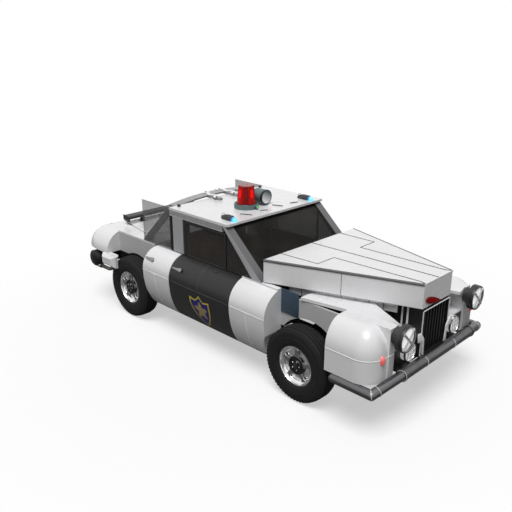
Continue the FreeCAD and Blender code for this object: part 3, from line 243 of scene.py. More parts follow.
def pair(name, parts, finish, body="body", replaces=()):
    """Fits a left piece and its mirror image; each %s in a name is the side."""
    piece = joined(parts)
    twin = copied(piece, Matrix.Diagonal((1, -1, 1, 1)))
    twin.data.flip_normals()
    for item, side in ((piece, "left"), (twin, "right")):
        fit(name.replace("%s", side), item, finish, body.replace("%s", side),
            [node.replace("%s", side) for node in replaces])


# ---- finishes
class Amount:
    """A number or colour that changes over a surface."""

    def __init__(self, finish, socket):
        self.finish = finish
        self.socket = socket

    def also(self, output):
        return Amount(self.finish, self.socket.node.outputs[output])

    def _sum(self, operation, *values):
        return self.finish.node("ShaderNodeMath", {"operation": operation}, dict(enumerate(values)))

    def __add__(self, other):
        return self._sum("ADD", self, other)

    __radd__ = __add__

    def __sub__(self, other):
        return self._sum("SUBTRACT", self, other)

    def __rsub__(self, other):
        return self._sum("SUBTRACT", other, self)

    def __mul__(self, other):
        return self._sum("MULTIPLY", self, other)

    __rmul__ = __mul__

    def __abs__(self):
        return self._sum("ABSOLUTE", self)

    def __pow__(self, other):
        return self._sum("POWER", self, other)

    def ribs(self, pitch):
        """Soft ribs across this amount, from 0 to 1."""
        return (self * pitch).sine() * 0.5 + 0.5

    def sine(self):
        return self._sum("SINE", self)

    def smaller(self, other):
        return self._sum("MINIMUM", self, other)

    def larger(self, other):
        return self._sum("MAXIMUM", self, other)

    def ramp(self, start, end):
        """0 at start, 1 at end, and straight between them."""
        return self.finish.node("ShaderNodeMapRange", {"clamp": True},
                                {"Value": self, "From Min": start, "From Max": end}, "Result")


class Finish:
    """A material and the nodes that it is built from."""

    def __init__(self, name):
        self.material = bpy.data.materials.new(name)
        self.material.use_nodes = True
        self.tree = self.material.node_tree
        self.shader = self.tree.nodes["Principled BSDF"]
        self.place = self.node("ShaderNodeTexCoord", {}, {}, "Object")
        self.x = self.node("ShaderNodeSeparateXYZ", {}, {0: self.place}, "X")
        self.y = self.x.also("Y")
        self.z = self.x.also("Z")

    def node(self, kind, settings, inputs, output=0):
        made = self.tree.nodes.new(kind)
        for key, value in settings.items():
            setattr(made, key, value)
        for key, value in inputs.items():
            self.join(made.inputs[key], value)
        return Amount(self, made.outputs[output])

    def join(self, socket, value):
        if isinstance(value, Amount):
            self.tree.links.new(value.socket, socket)
        elif isinstance(value, tuple) and socket.type == "RGBA":
            socket.default_value = (*value, 1)
        else:
            socket.default_value = value

    def mix(self, mask, first, second):
        return self.node("ShaderNodeMix", {"data_type": "RGBA"}, {0: mask, 6: first, 7: second}, 2)

    def noise(self, scale, detail=3, stretch=None):
        place = self.place
        if stretch:
            place = self.node("ShaderNodeMapping", {}, {"Vector": place, "Scale": stretch})
        return self.node("ShaderNodeTexNoise", {}, {"Vector": place, "Scale": scale, "Detail": detail})

    def angle(self, up, across):
        return self.node("ShaderNodeMath", {"operation": "ARCTAN2"}, {0: up, 1: across})

    def bump(self, height, depth, strength=1):
        return self.node("ShaderNodeBump", {}, {"Height": height, "Distance": depth, "Strength": strength})

    def set(self, **values):
        for key, value in values.items():
            self.join(self.shader.inputs[key.replace("_", " ")], value)
        return self


def shade(colour, by):
    return tuple(part * by for part in colour)


def grey(level, blue=0):
    return (level, level, level + blue)


WHITE = (0.8, 0.8, 0.81)
BLACK = (0.017, 0.017, 0.0185)
DUST = (0.32, 0.28, 0.23)
NAVY = (0.012, 0.012, 0.16)
YELLOW = (0.62, 0.52, 0.03)
GOLD = (0.42, 0.32, 0.12)
RUST = (0.16, 0.07, 0.03)
SPLASH_TOP, SPLASH_LOW = 0.62, 0.18
STAR_Z = 0.518
ROOF_PLATE_Z, ROOF_RAIL_Z = 1.4675, 1.412
PILLAR_FACE_Y = 0.7445


def painted(name, colour, roughness, coat, dust, marks=None):
    """Sprayed paint: faint uneven colour and gloss, and road dust low down."""
    finish = Finish(name)
    cloud = finish.noise(2.6, 4)
    fine = finish.noise(7, 3)
    splash = finish.z.ramp(SPLASH_TOP, SPLASH_LOW) * finish.noise(11, 5).ramp(0.42, 0.75)
    base = finish.mix(cloud.ramp(0.35, 0.75), colour, shade(colour, 0.965))
    if marks:
        base = marks(finish, base)
    return finish.set(
        Base_Color=finish.mix(splash * dust, base, DUST),
        Roughness=roughness + fine.ramp(0.4, 0.8) * 0.04 + splash * 0.3,
        Coat_Weight=coat,
        Coat_Roughness=0.3,
        Specular_IOR_Level=0.35,
    )


def shield_marks(finish, base):
    """A plain shield with a star, painted on the doors."""
    z = finish.z
    low = (0.6 - z).larger(0)
    x = finish.x - 0.002 - low * 0.17
    across = abs(x)
    top = 0.632 + across * across * 1 + across.ramp(0.06, 0) * 0.06
    half = 0.158 - low ** 2 * 2
    inside = (top - z).smaller(half - across)
    up = z - STAR_Z
    turn = finish.node("ShaderNodeMath", {"operation": "PINGPONG"}, {0: finish.angle(x, up), 1: pi / 5})
    reach = (x * x + up * up) ** 0.5
    star = (0.106 - turn * 0.096 - reach).ramp(0, 0.0015)
    sheen = finish.noise(30, 3).ramp(0.3, 0.8)
    base = finish.mix(inside.ramp(0, 0.0015), base, YELLOW)
    base = finish.mix(inside.ramp(0.017, 0.0185), base, NAVY)
    return finish.mix(star, base, finish.mix(sheen, GOLD, shade(GOLD, 0.7)))


def roof_marks(finish, base):
    """Grey side rails under the white roof plate."""
    rail = finish.z.ramp(ROOF_PLATE_Z, ROOF_PLATE_Z - 0.002)
    grain = finish.noise(26, 5, (1, 1, 3)).ramp(0.35, 0.7)
    side = finish.mix(grain, grey(0.4, 0.005), grey(0.27, 0.005))
    side = finish.mix(finish.z.ramp(ROOF_RAIL_Z, ROOF_RAIL_Z - 0.003), side, grey(0.55))
    return finish.mix(rail, base, side)


def pillar_marks(finish, base):
    """Darker front faces and a lighter outer face on the screen pillars."""
    inward = abs(finish.y).ramp(PILLAR_FACE_Y, PILLAR_FACE_Y - 0.001)
    return finish.mix(inward * finish.x.ramp(0.15, 0.2), base, grey(0.13, 0.005))


def wing_marks(finish, base):
    streaks = finish.noise(14, 4, (1, 6, 1)).ramp(0.4, 0.7)
    return finish.mix(streaks, base, shade(grey(0.3, 0.01), 0.75))


def metal(name, colour, roughness, grain=(1, 1, 1), tarnish=0.5):
    """Bright metal with fine lines, smudges and slight tarnish."""
    finish = Finish(name)
    cloud = finish.noise(9, 5)
    lines = finish.noise(180, 2, grain)
    return finish.set(
        Base_Color=finish.mix(cloud.ramp(0.45, 0.85) * tarnish, colour, shade(colour, 0.55)),
        Metallic=1,
        Roughness=roughness + cloud.ramp(0.4, 0.9) * 0.12 + lines * 0.05,
        Normal=finish.bump(lines, 0.0002, 0.2),
    )


def moulded(name, colour, roughness, grain=320, depth=0.0004):
    """Moulded plastic or rubber with a leathery grain and settled dust."""
    finish = Finish(name)
    cells = finish.node("ShaderNodeTexVoronoi", {"feature": "SMOOTH_F1"},
                        {"Vector": finish.place, "Scale": grain}, "Distance")
    cloud = finish.noise(6, 4)
    return finish.set(
        Base_Color=finish.mix(cloud.ramp(0.45, 0.8) * 0.35, colour, shade(DUST, 0.35)),
        Roughness=roughness + cloud * 0.15,
        Normal=finish.bump(cells, depth, 0.4),
    )


def tinted(name, colour, alpha):
    """Tinted glass with a film of dust and faint wipe marks."""
    finish = Finish(name)
    film = finish.noise(3.5, 5).ramp(0.45, 0.8)
    wipe = finish.noise(5, 3, (1, 1, 7)).ramp(0.5, 0.8)
    return finish.set(
        Base_Color=finish.mix(film * 0.25, colour, shade(DUST, 0.4)),
        Alpha=alpha + film * 0.06,
        Roughness=0.04 + wipe * 0.1,
        Specular_IOR_Level=0.05,
    )


def smoke_glass():
    """Smoked side plates, with a black painted band at the front edge."""
    finish = Finish("smoke_glass")
    band = finish.x.ramp(-0.6825, -0.68) * finish.z.ramp(1.4035, 1.4015)
    film = finish.noise(5, 5).ramp(0.4, 0.8)
    base = finish.mix(film * 0.5, grey(0.16, 0.005), grey(0.27))
    return finish.set(
        Base_Color=finish.mix(band, base, grey(0.006)),
        Alpha=(0.46 + film * 0.08).larger(band),
        Roughness=0.08 + film * 0.12,
    )


def rubber():
    """Tyre rubber with grey-brown dust and scuffs."""
    finish = Finish("tyre_rubber")
    cloud = finish.noise(14, 5)
    scuff = finish.noise(90, 3).ramp(0.55, 0.8)
    base = finish.mix(cloud.ramp(0.45, 0.8) * 0.25, grey(0.008, 0.001), (0.035, 0.032, 0.028))
    return finish.set(
        Base_Color=finish.mix(scuff * 0.25, base, grey(0.03)),
        Roughness=0.62 + cloud * 0.25,
        Specular_IOR_Level=0.25,
        Normal=finish.bump(finish.noise(260, 3), 0.0006, 0.5),
    )


def lens(name, colour, glow, strength, flute=0):
    """A moulded lamp lens with flutes and a soft inner glow."""
    finish = Finish(name)
    cloud = finish.noise(20, 3)
    ribs = finish.y.ribs(420)
    return finish.set(
        Base_Color=finish.mix(ribs * flute + cloud * 0.15, colour, shade(colour, 0.62)),
        Roughness=0.06 + cloud * 0.06,
        Coat_Weight=1,
        Coat_Roughness=0.03,
        Normal=finish.bump(ribs, 0.0012, 0.4 * flute + 0.05),
        Emission_Color=finish.mix(cloud.ramp(0.3, 0.7), glow, shade(glow, 0.7)),
        Emission_Strength=strength,
    )


def beacon_red():
    """A red dome with hot spots from the lamp in it and darker flutes between them."""
    finish = Finish("beacon_red")
    low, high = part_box("beacon_dome")
    angle = finish.angle(finish.y - (low.y + high.y) / 2, finish.x - (low.x + high.x) / 2)
    flutes = angle.ribs(26)
    spots = (angle * 4 + 1.75).sine()
    level = abs(finish.z - (low.z + 0.12)).ramp(0.05, 0)
    hot = spots.ramp(0.55, 0.9) * level.ramp(0, 0.35)
    base = finish.mix(spots.ramp(0.3, -0.6), (0.46, 0, 0), (0.17, 0, 0))
    base = finish.mix(flutes * 0.2, base, (0.09, 0, 0))
    return finish.set(
        Base_Color=finish.mix(finish.z.ramp(high.z - 0.01, high.z - 0.003), base, (0.22, 0.07, 0.07)),
        Alpha=0.97 - flutes * 0.05,
        Roughness=0.18 + flutes * 0.08,
        Specular_IOR_Level=0.25,
        Emission_Color=finish.mix(hot, (0.05, 0, 0), (1, 0, 0)),
        Emission_Strength=0.9,
        Normal=finish.bump(flutes, 0.0012, 0.35),
    )


def bowl_white():
    """A horn's mouth: dark toward the top of its bowl and white toward the bottom."""
    finish = Finish("horn_bowl")
    low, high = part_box("siren_horn")
    shadow = (finish.z + (finish.y - low.y) * 0.5).ramp(high.z - 0.1, high.z + 0.02)
    return finish.set(
        Base_Color=finish.mix(shadow, (0.85, 0.85, 0.86), (0.1, 0.13, 0.13)),
        Roughness=0.25 + finish.noise(25, 3) * 0.1,
    )


def pod_blue():
    """A roof lamp's lens: navy at its rim, bright cyan at its tip."""
    finish = Finish("pod_blue")
    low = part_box("roof_pod_lenses")[0]
    tip = finish.x.ramp(low.x + 0.004, low.x + 0.034)
    ribs = finish.x.ribs(900)
    return finish.set(
        Base_Color=finish.mix(tip, (0, 0.008, 0.22), (0.06, 0.62, 1)),
        Emission_Color=finish.mix(tip, (0, 0, 0.1), (0.05, 0.52, 0.95)),
        Emission_Strength=0.75,
        Roughness=0.08 + ribs * 0.05,
        Coat_Weight=1,
        Normal=finish.bump(ribs, 0.0008, 0.3),
    )


def cloth(name, colour, weave=900):
    """Woven cloth: over-and-under threads, mottled colour and worn places."""
    finish = Finish(name)
    threads = (finish.x * weave).sine() * (finish.y * weave).sine() + (finish.z * weave).sine() * 0.4
    worn = finish.noise(4, 4).ramp(0.4, 0.8)
    fleck = finish.noise(240, 2).ramp(0.45, 0.7)
    base = finish.mix(fleck * 0.6, colour, shade(colour, 1.9))
    return finish.set(
        Base_Color=finish.mix(worn * 0.35, base, shade(colour, 0.6)),
        Roughness=0.86 + worn * 0.08,
        Normal=finish.bump(threads, 0.0007, 0.7),
    )


def cast_iron(name, colour, rust):
    """Rough black or grey iron with rust and oil stains."""
    finish = Finish(name)
    patch = finish.noise(9, 6).ramp(0.5, 0.75)
    oil = finish.noise(4, 3).ramp(0.5, 0.7)
    base = finish.mix(patch * rust, colour, RUST)
    return finish.set(
        Base_Color=finish.mix(oil * 0.6, base, shade(colour, 0.4)),
        Metallic=0.35,
        Roughness=0.45 + patch * 0.35,
        Normal=finish.bump(finish.noise(130, 4), 0.0012, 0.5),
    )


def rope_rail():
    """A dark rail with slanting lines."""
    finish = Finish("edge_rail")
    hatch = (finish.x - finish.z * 1.2).ribs(420)
    return finish.set(
        Base_Color=finish.mix(hatch, grey(0.055, 0.001), grey(0.17)),
        Roughness=0.55 + hatch * 0.1,
        Normal=finish.bump(hatch, 0.002, 0.6),
    )


white_paint = painted("white_paint", WHITE, 0.26, 0.5, 0.35)
badge_paint = painted("badged_black_paint", BLACK, 0.42, 0.04, 0.25, shield_marks)
roof_paint = painted("roof_paint", WHITE, 0.26, 0.5, 0, roof_marks)
grey_paint = painted("grey_paint", grey(0.4, 0.01), 0.35, 0.3, 0.6)
pillar_paint = painted("pillar_paint", grey(0.42, 0.01), 0.35, 0.2, 0, pillar_marks)
wing_paint = painted("roof_wing_paint", grey(0.3, 0.01), 0.32, 0.3, 0, wing_marks)
seam_white = painted("seam_white", grey(0.95), 0.3, 0.3, 0)
seam_dark = painted("seam_dark", grey(0.07, 0.002), 0.5, 0, 0.1)
seam_grey = painted("seam_grey", grey(0.32), 0.5, 0, 0.1)
seam_door = painted("seam_door", grey(0.095, 0.002), 0.5, 0, 0)
jamb_blue = painted("jamb_blue", (0.035, 0.065, 0.1), 0.25, 0.4, 0.2)
pale_metal = painted("pale_metal", grey(0.7), 0.3, 0.4, 0.1)
wall_grey = painted("wall_grey", grey(0.5, 0.005), 0.4, 0.2, 0.3)
shell_black = painted("shell_black", grey(0.01, 0.001), 0.4, 0.2, 0.1)
badge_red = painted("badge_red", (0.26, 0, 0), 0.5, 0, 0).set(Specular_IOR_Level=0.08)
chassis_paint = cast_iron("chassis_black", grey(0.028, 0.002), 0.45)
iron = cast_iron("engine_iron", (0.11, 0.115, 0.12), 0.35)
exhaust = cast_iron("exhaust_steel", (0.22, 0.21, 0.2), 0.8)
chrome = metal("chrome", grey(0.78, 0.01), 0.08, tarnish=0.25)
alloy = metal("alloy", grey(0.86, 0.01), 0.16, tarnish=0.35)
spoke_grey = metal("spoke_grey", grey(0.36, 0.01), 0.26)
hub_dark = metal("hub_dark", grey(0.045, 0.002), 0.34)
disc_steel = metal("disc_steel", (0.3, 0.27, 0.25), 0.3, tarnish=0.8)
nut_steel = metal("nut_steel", grey(0.62, 0.01), 0.2)
bumper_steel = metal("bumper_steel", grey(0.15, 0.005), 0.3, (1, 8, 1))
mirror_glass = metal("mirror_glass", (0.85, 0.86, 0.87), 0.02, tarnish=0.1)
tyre_rubber = rubber()
black_plastic = moulded("black_plastic", grey(0.016, 0.001), 0.42)
soft_black = moulded("soft_black", grey(0.022, 0.001), 0.6, 240, 0.0006)
cabin_plastic = moulded("cabin_plastic", (0.035, 0.033, 0.032), 0.55, 200, 0.0006)
teal_plastic = moulded("teal_plastic", (0.115, 0.165, 0.17), 0.38)
dark_glass = tinted("dark_glass", (0.016, 0.015, 0.014), 0.72)
side_glass = tinted("side_glass", (0.06, 0.054, 0.05), 0.56)
back_glass = tinted("back_glass", grey(0.13), 0.4)
smoked = smoke_glass()
lamp_white = lens("lamp_white", grey(0.88), (1, 1, 1), 0.6, 0.12)
lamp_red = lens("lamp_red", (0.5, 0, 0), (1, 0, 0), 0.2, 0.35)
lamp_salmon = lens("lamp_salmon", (0.9, 0.16, 0.15), (1, 0.16, 0.14), 0.22, 0.05)
fog_glass = lens("fog_glass", (0.8, 0.8, 0.79), (1, 1, 1), 0.35, 0.6)
lamp_green = lens("lamp_green", (0, 0.55, 0.03), (0, 1, 0.05), 0.6)
dome_red = beacon_red()
blue_lens = pod_blue()
horn_bowl = bowl_white()
rope = rope_rail()
seat_cloth = cloth("seat_cloth", (0.04, 0.036, 0.034), 520)
carpet = cloth("carpet", grey(0.03, 0.002))
floor_carpet = cloth("floor_carpet", grey(0.026, 0.001))

# finishes by slot: the first dresses the imported parts, and each finish is labelled with its slot
SLOTS = {
    "paint_white": (white_paint, seam_white),
    "paint_black": (badge_paint, badge_red),
    "paint_grey": (grey_paint, seam_dark, seam_grey, seam_door, jamb_blue, pale_metal, wall_grey, horn_bowl, rope),
    "chassis_black": (chassis_paint,),
    "dark_chrome": (bumper_steel, chrome, spoke_grey, hub_dark, mirror_glass),
    "alloy": (alloy, nut_steel),
    "tyre": (tyre_rubber,),
    "glass_dark": (dark_glass,),
    "glass_smoke": (smoked,),
    "lamp_clear": (lamp_white, lamp_green),
    "lamp_red": (lamp_red,),
    "lamp_salmon": (lamp_salmon,),
    "lamp_blue": (blue_lens,),
    "teal_grey": (teal_plastic,),
    "plastic_black": (black_plastic, soft_black, shell_black),
    "cabin_dark": (cabin_plastic, carpet),
    "seat_cloth": (seat_cloth,),
    "engine_iron": (iron, disc_steel),
    "exhaust_steel": (exhaust,),
}
for label, finishes in SLOTS.items():
    for finish in finishes:
        finish.slot = label
NODE_FINISH = {
    "floor_pan": floor_carpet, "trunk_tub": floor_carpet, "roof_panel": roof_paint,
    "cabin_pillars": pillar_paint, "roof_wing": wing_paint, "beacon_dome": dome_red,
    "front_left_window": side_glass, "front_right_window": side_glass,
    "front_quarter_glass": side_glass, "rear_window": back_glass, "rear_side_glass": smoked,
    "fog_lamps": fog_glass, "siren_horn": teal_plastic, "wheel_walls": wall_grey,
    "grille_shell": shell_black, "grille_bars": shell_black,
}
for name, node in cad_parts.items():
    for slot in node.material_slots:
        label = slot.material.name.split(".")[0]
        slot.material = NODE_FINISH.get(name, SLOTS[label][0]).material

# ---- camera, light and floor
camera = bpy.data.objects.new("camera", bpy.data.cameras.new("camera"))
scene.collection.objects.link(camera)
camera.location = (4.668, -4.737, 3.291)
camera.rotation_euler = (radians(70.268), 0, radians(45))
camera.data.lens = 43.45
camera.data.sensor_width = 36
scene.camera = camera

sun = bpy.data.objects.new("key_light", bpy.data.lights.new("key_light", "SUN"))
scene.collection.objects.link(sun)
sun.data.energy = 2.7
sun.data.angle = 0.6
sun.rotation_euler = (radians(21), radians(14), 0)

SKY_GLOW = 0.2
world = bpy.data.worlds.new("studio")
scene.world = world
world.use_nodes = True
sky = world.node_tree
back = sky.nodes["Background"]
seen = sky.nodes.new("ShaderNodeBackground")
for light, strength in ((back, SKY_GLOW), (seen, 1)):
    light.inputs["Color"].default_value = (1, 1, 1, 1)
    light.inputs["Strength"].default_value = strength
ray = sky.nodes.new("ShaderNodeLightPath")
which = sky.nodes.new("ShaderNodeMixShader")
bright = ray.outputs["Is Camera Ray"]
for kind in ("Is Glossy Ray", "Is Transmission Ray"):
    larger = sky.nodes.new("ShaderNodeMath")
    larger.operation = "MAXIMUM"
    sky.links.new(bright, larger.inputs[0])
    sky.links.new(ray.outputs[kind], larger.inputs[1])
    bright = larger.outputs[0]
for index, output in enumerate((bright, back.outputs[0], seen.outputs[0])):
    sky.links.new(output, which.inputs[index])
sky.links.new(which.outputs[0], sky.nodes["World Output"].inputs[0])
scene.view_settings.view_transform = "Standard"

bpy.ops.object.select_all(action="DESELECT")
bpy.ops.mesh.primitive_plane_add(size=60, location=(0, 0, -0.001))
floor = settled()
floor.name = floor.data.name = "studio_floor"
look = Finish("studio_floor")
away = (look.x * look.x + look.y * look.y) ** 0.5
pale = look.node("ShaderNodeEmission", {}, {"Color": (1, 1, 1), "Strength": 1})
camera_ray = look.node("ShaderNodeLightPath", {}, {}, "Is Camera Ray")
look.set(Base_Color=look.mix(camera_ray, grey(0.18), grey(0.96)), Roughness=0.9, Specular_IOR_Level=0.1)
blended = look.node("ShaderNodeMixShader", {}, {
    0: camera_ray * (away.ramp(2.1, 4.2) * 0.5 + 0.5),
    1: Amount(look, look.shader.outputs[0]),
    2: pale,
})
look.join(look.tree.nodes["Material Output"].inputs["Surface"], blended)
floor.data.materials.append(look.material)

# ---- body seams, handles and side details
BEAD, INSET = 0.0032, 0.004
HANDLE_Z, HANDLE_LONG = 0.905, 0.15
JAMB_LOW, JAMB_HIGH = (0.974, 0.694, 0.76), (1.196, 0.701, 1.005)


def side_point(angle, x, proud=0):
    """A point on the round side: 0 at the waist, up to a quarter turn above or below it."""
    tall = ROUND if angle >= 0 else DROP
    return (x, AXIS_Y + (ROUND + proud) * cos(angle), WAIST + (tall + proud) * sin(angle))


def hoop(x, start, end, radius, steps=20):
    """A thin bead round the side, between two angles in degrees."""
    angles = [radians(start + (end - start) * step / steps) for step in range(steps + 1)]
    return bar([side_point(angle, x) for angle in angles], radius, sides=2)


rear_door_low, rear_door_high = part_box("rear_left_door")
front_door_low, front_door_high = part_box("front_left_door")
panel_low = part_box("front_side_panels")[0]
for name, start, end, radius, finish, body in (
    ("rear_%s_door", rear_door_low.x, rear_door_high.x, BEAD, seam_white, "rear_%s_door"),
    ("front_%s_door", front_door_low.x, front_door_high.x, BEAD * 0.6, seam_door, "front_%s_door"),
    ("side_panel_%s", panel_low.x, FRONT_X - 0.36, BEAD, seam_white, "body"),
):
    line = span((start + INSET, SIDE, WAIST), (end - INSET, SIDE, WAIST))
    pair(name + "_waist_bead", bar(line, radius, sides=2), finish, body)
pair("rear_%s_door_lower_seam", hoop(rear_door_low.x + 0.223, -72, 0, BEAD), seam_white, "rear_%s_door")
pair("side_panel_%s_lower_seam", hoop(panel_low.x + 0.24, -72, 0, BEAD), seam_white)
pair("front_%s_door_upper_seam", hoop(-0.02, 2, 84, 0.0016), seam_door, "front_%s_door")

NOSE_ROUND, NOSE_FRONT = 0.19, 2.193
RIDGE_Y, RIDGE_INNER = 0.69, 0.612
nose_low, nose_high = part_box("front_fenders")
nose_line = [(nose_low.x + INSET, SIDE, WAIST)]
for step in range(25):
    turn = radians(90 - step * 90 / 24)
    nose_line.append((NOSE_FRONT - NOSE_ROUND * (1 - cos(turn)), SIDE - NOSE_ROUND * (1 - sin(turn)), WAIST))
nose_line += [(NOSE_FRONT, RIDGE_Y + 0.004, WAIST), (nose_high.x, RIDGE_Y - 0.002, WAIST),
              (nose_high.x, RIDGE_INNER, WAIST)]
pair("front_fender_%s_waist_bead", bar(nose_line, BEAD, sides=2), seam_white)


def lever(x, z=HANDLE_Z, long=HANDLE_LONG):
    """A flat pull lever on two feet, narrow at its pivot and wide at its grip."""
    angle = atan2(z - WAIST, ROUND)
    grip = [(-long * 0.5, -0.006), (-long * 0.5, 0.006), (0, 0.013), (long * 0.42, 0.021),
            (long * 0.52, 0.006), (long * 0.44, -0.024), (0, -0.012)]
    parts = [plate(grip, 0.013, (angle - QUARTER, 0, 0), side_point(angle, x, 0.017), 0.004)]
    for share, radius in ((-0.4, 0.01), (0.05, 0.007)):
        foot = x + long * share
        parts.append(bar(span(side_point(angle, foot, -0.004), side_point(angle, foot, 0.016)), radius, sides=4))
    return parts


pair("rear_%s_door_handle", lever(-0.883), seam_grey, "rear_%s_door")
pair("front_%s_door_handle", lever(-0.383), seam_grey, "front_%s_door")
pair("front_%s_door_lock", lathe([
    (0, 0), (0.004, 0.006), (0.006, 0.014), (0, 0.017), (-0.012, 0.017), (-0.012, 0),
], "y", side_point(radians(61), 0.139, 0.002), 24), black_plastic, "front_%s_door")

window_low, window_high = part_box("front_left_window")
strip_rear, strip_front = window_low.x + 0.004, window_high.x - 0.004
strip_low, strip_high = window_low.z + 0.02, window_high.z - 0.004
strip = [(x, window_high.y + 0.002, z) for x, z in (
    (strip_rear, strip_low), (strip_front, strip_low), (strip_front, strip_high), (strip_rear, strip_high))]
pair("front_%s_window_strip", bar(strip, 0.004, closed=True, sides=2), soft_black, "front_%s_door")
pair("jamb_plate_%s", block(JAMB_LOW, JAMB_HIGH, 0.002), jamb_blue)

# ---- hood
REAR, FRONT = HOOD_LOW.x, HOOD_HIGH.x
HOOD_LIFT, HOOD_FRONT_HALF = 0.027, 0.24
JOG, SIDE_SEAM = 1.215, 1.495
UPRIGHT = 1.51
SEAM_WIDE, SEAM_SUNK = 0.009, -0.005
BADGE_Y, BADGE_DROP, BADGE_LONG, BADGE_TALL = -0.075, -0.196, 0.128, 0.03
SKIRT_REAR, SKIRT_FRONT, SKIRT_TALL, SKIRT_DROP = 0.99, 2, 0.115, -0.325


def hood_z(x, lift=0):
    return HOOD_HIGH.z - HOOD_LIFT + (x - REAR) * HOOD_LIFT / (FRONT - REAR) + lift


def hood_half(x):
    return HOOD_HIGH.y + (HOOD_FRONT_HALF - HOOD_HIGH.y) * (x - REAR) / (FRONT - REAR)


def hood_line(spots, radius=SEAM_WIDE, lift=SEAM_SUNK):
    return bar([(x, y, hood_z(x, lift)) for x, y in spots], radius, sides=2)


def hood_side_line(drop, radius, out, steps=12):
    """A bar along the hood's side, drop below its top."""
    start, end = REAR + 0.002, FRONT - 0.004
    places = [start + (end - start) * step / steps for step in range(steps + 1)]
    return bar([(x, hood_half(x) + out, hood_z(x, -drop)) for x in places], radius)


fit("hood_centre_seam", hood_line([(REAR + 0.003, 0), ((REAR + FRONT) / 2, 0), (FRONT - 0.002, 0)]),
    seam_dark, "hood")
pair("hood_%s_panel_seam", hood_line([
    (REAR + 0.003, 0.475), (JOG, 0.462), (JOG, 0.215), (FRONT - 0.06, 0.205), (FRONT - 0.003, 0.225),
]), seam_dark, "hood")
cross = [hood_line([(JOG, 0.21), (JOG, 0), (JOG, -0.21)], 0.0022, 0)]
for side in BOTH:
    cross.append(hood_line([
        (SIDE_SEAM, 0.222 * side), (SIDE_SEAM, 0.36 * side), (SIDE_SEAM, (hood_half(SIDE_SEAM) - 0.01) * side),
    ], 0.0022, 0))
fit("hood_cross_seams", cross, seam_white, "hood")
pair("hood_%s_edge_rail", hood_side_line(0.01, 0.0135, -0.006), rope, "hood")
pair("hood_%s_lower_hem", hood_side_line(0.2335, 0.003, -0.0012), seam_grey, "hood")
pair("hood_%s_side_seam", bar([(UPRIGHT, hood_half(UPRIGHT), hood_z(UPRIGHT, -drop))
                               for drop in (0.02, 0.12, 0.228)], 0.0028, sides=2), seam_dark, "hood")
fit("hood_front_edge", [
    bar(span((FRONT - 0.003, -0.238, hood_z(FRONT, -drop)), (FRONT - 0.003, 0.238, hood_z(FRONT, -drop))), radius)
    for drop, radius in ((0.003, 0.0042), (0.231, 0.0036))
], seam_white, "hood")

# plain oval badge on the hood's front face
outline = []
for step in range(28):
    turn = 2 * pi * step / 28
    across, up = BADGE_LONG * cos(turn), BADGE_TALL * sin(turn) * (1 - 0.5 * cos(turn))
    outline.append((across, up - 0.28 * across))
badge_z = hood_z(FRONT, BADGE_DROP)
fit("hood_badge", plate(outline, 0.01, FACING_FRONT, (FRONT + 0.003, BADGE_Y, badge_z), 0.003), badge_red, "hood")
fit("hood_badge_rim", bar([(FRONT + 0.006, BADGE_Y + y, badge_z + z) for y, z in outline], 0.0024, closed=True),
    seam_dark, "hood")

# ledges that close the gap under the hood's lower edges
for name, side in (("left", LEFT), ("right", RIGHT)):
    places = [SKIRT_REAR + step * (SKIRT_FRONT - SKIRT_REAR) / 8 for step in range(9)]
    wall = []
    for x0, x1 in zip(places[:-1], places[1:]):
        y0, y1 = (hood_half(x0) - 0.045) * side, (hood_half(x1) - 0.045) * side
        long = x1 - x0
        wall.append(plate([(0, 0), (long, 0), (long, SKIRT_TALL), (0, SKIRT_TALL)], 0.006,
                          (QUARTER, 0, atan2(y1 - y0, long)), (x0, y0, hood_z(x0, SKIRT_DROP)), 0.001))
    fit("hood_gap_skirt_" + name, wall, white_paint)


# ---- wheels: treaded tyres, dished alloys, brake discs
def tyre(x):
    """A tyre with four grooves round its tread and cut shoulder blocks."""
    wall = [(-0.083, 0.1985), (-0.09, 0.203), (-0.098, 0.222), (-0.1035, 0.262), (-0.1045, 0.29),
            (-0.101, 0.292), (-0.1005, 0.296), (-0.102, 0.3), (-0.098, 0.332), (-0.088, 0.358),
            (-0.076, 0.3675), (-0.066, 0.37), (-0.064, 0.364), (-0.054, 0.364), (-0.052, 0.3728)]
    tread = []
    for start in (-0.052, -0.014):
        tread += [(start, 0.3742), (start + 0.03, 0.3748), (start + 0.031, 0.366), (start + 0.037, 0.366)]
    profile = wall + tread + [(0.023, 0.3745)] + [(-along, radius) for along, radius in reversed(wall)]
    parts = [lathe(profile, "y", (x, WHEEL_Y, HUB_Z), 72)]
    for edge in (-1, 1):
        low_y, high_y = sorted((WHEEL_Y + edge * 0.07, WHEEL_Y + edge * 0.0885))
        lug = block((x - 0.0095, low_y, HUB_Z + 0.347), (x + 0.0095, high_y, HUB_Z + 0.365), 0.0015, 1)
        parts.append(around(lug, 60, "y", (x, WHEEL_Y, HUB_Z)))
    return parts


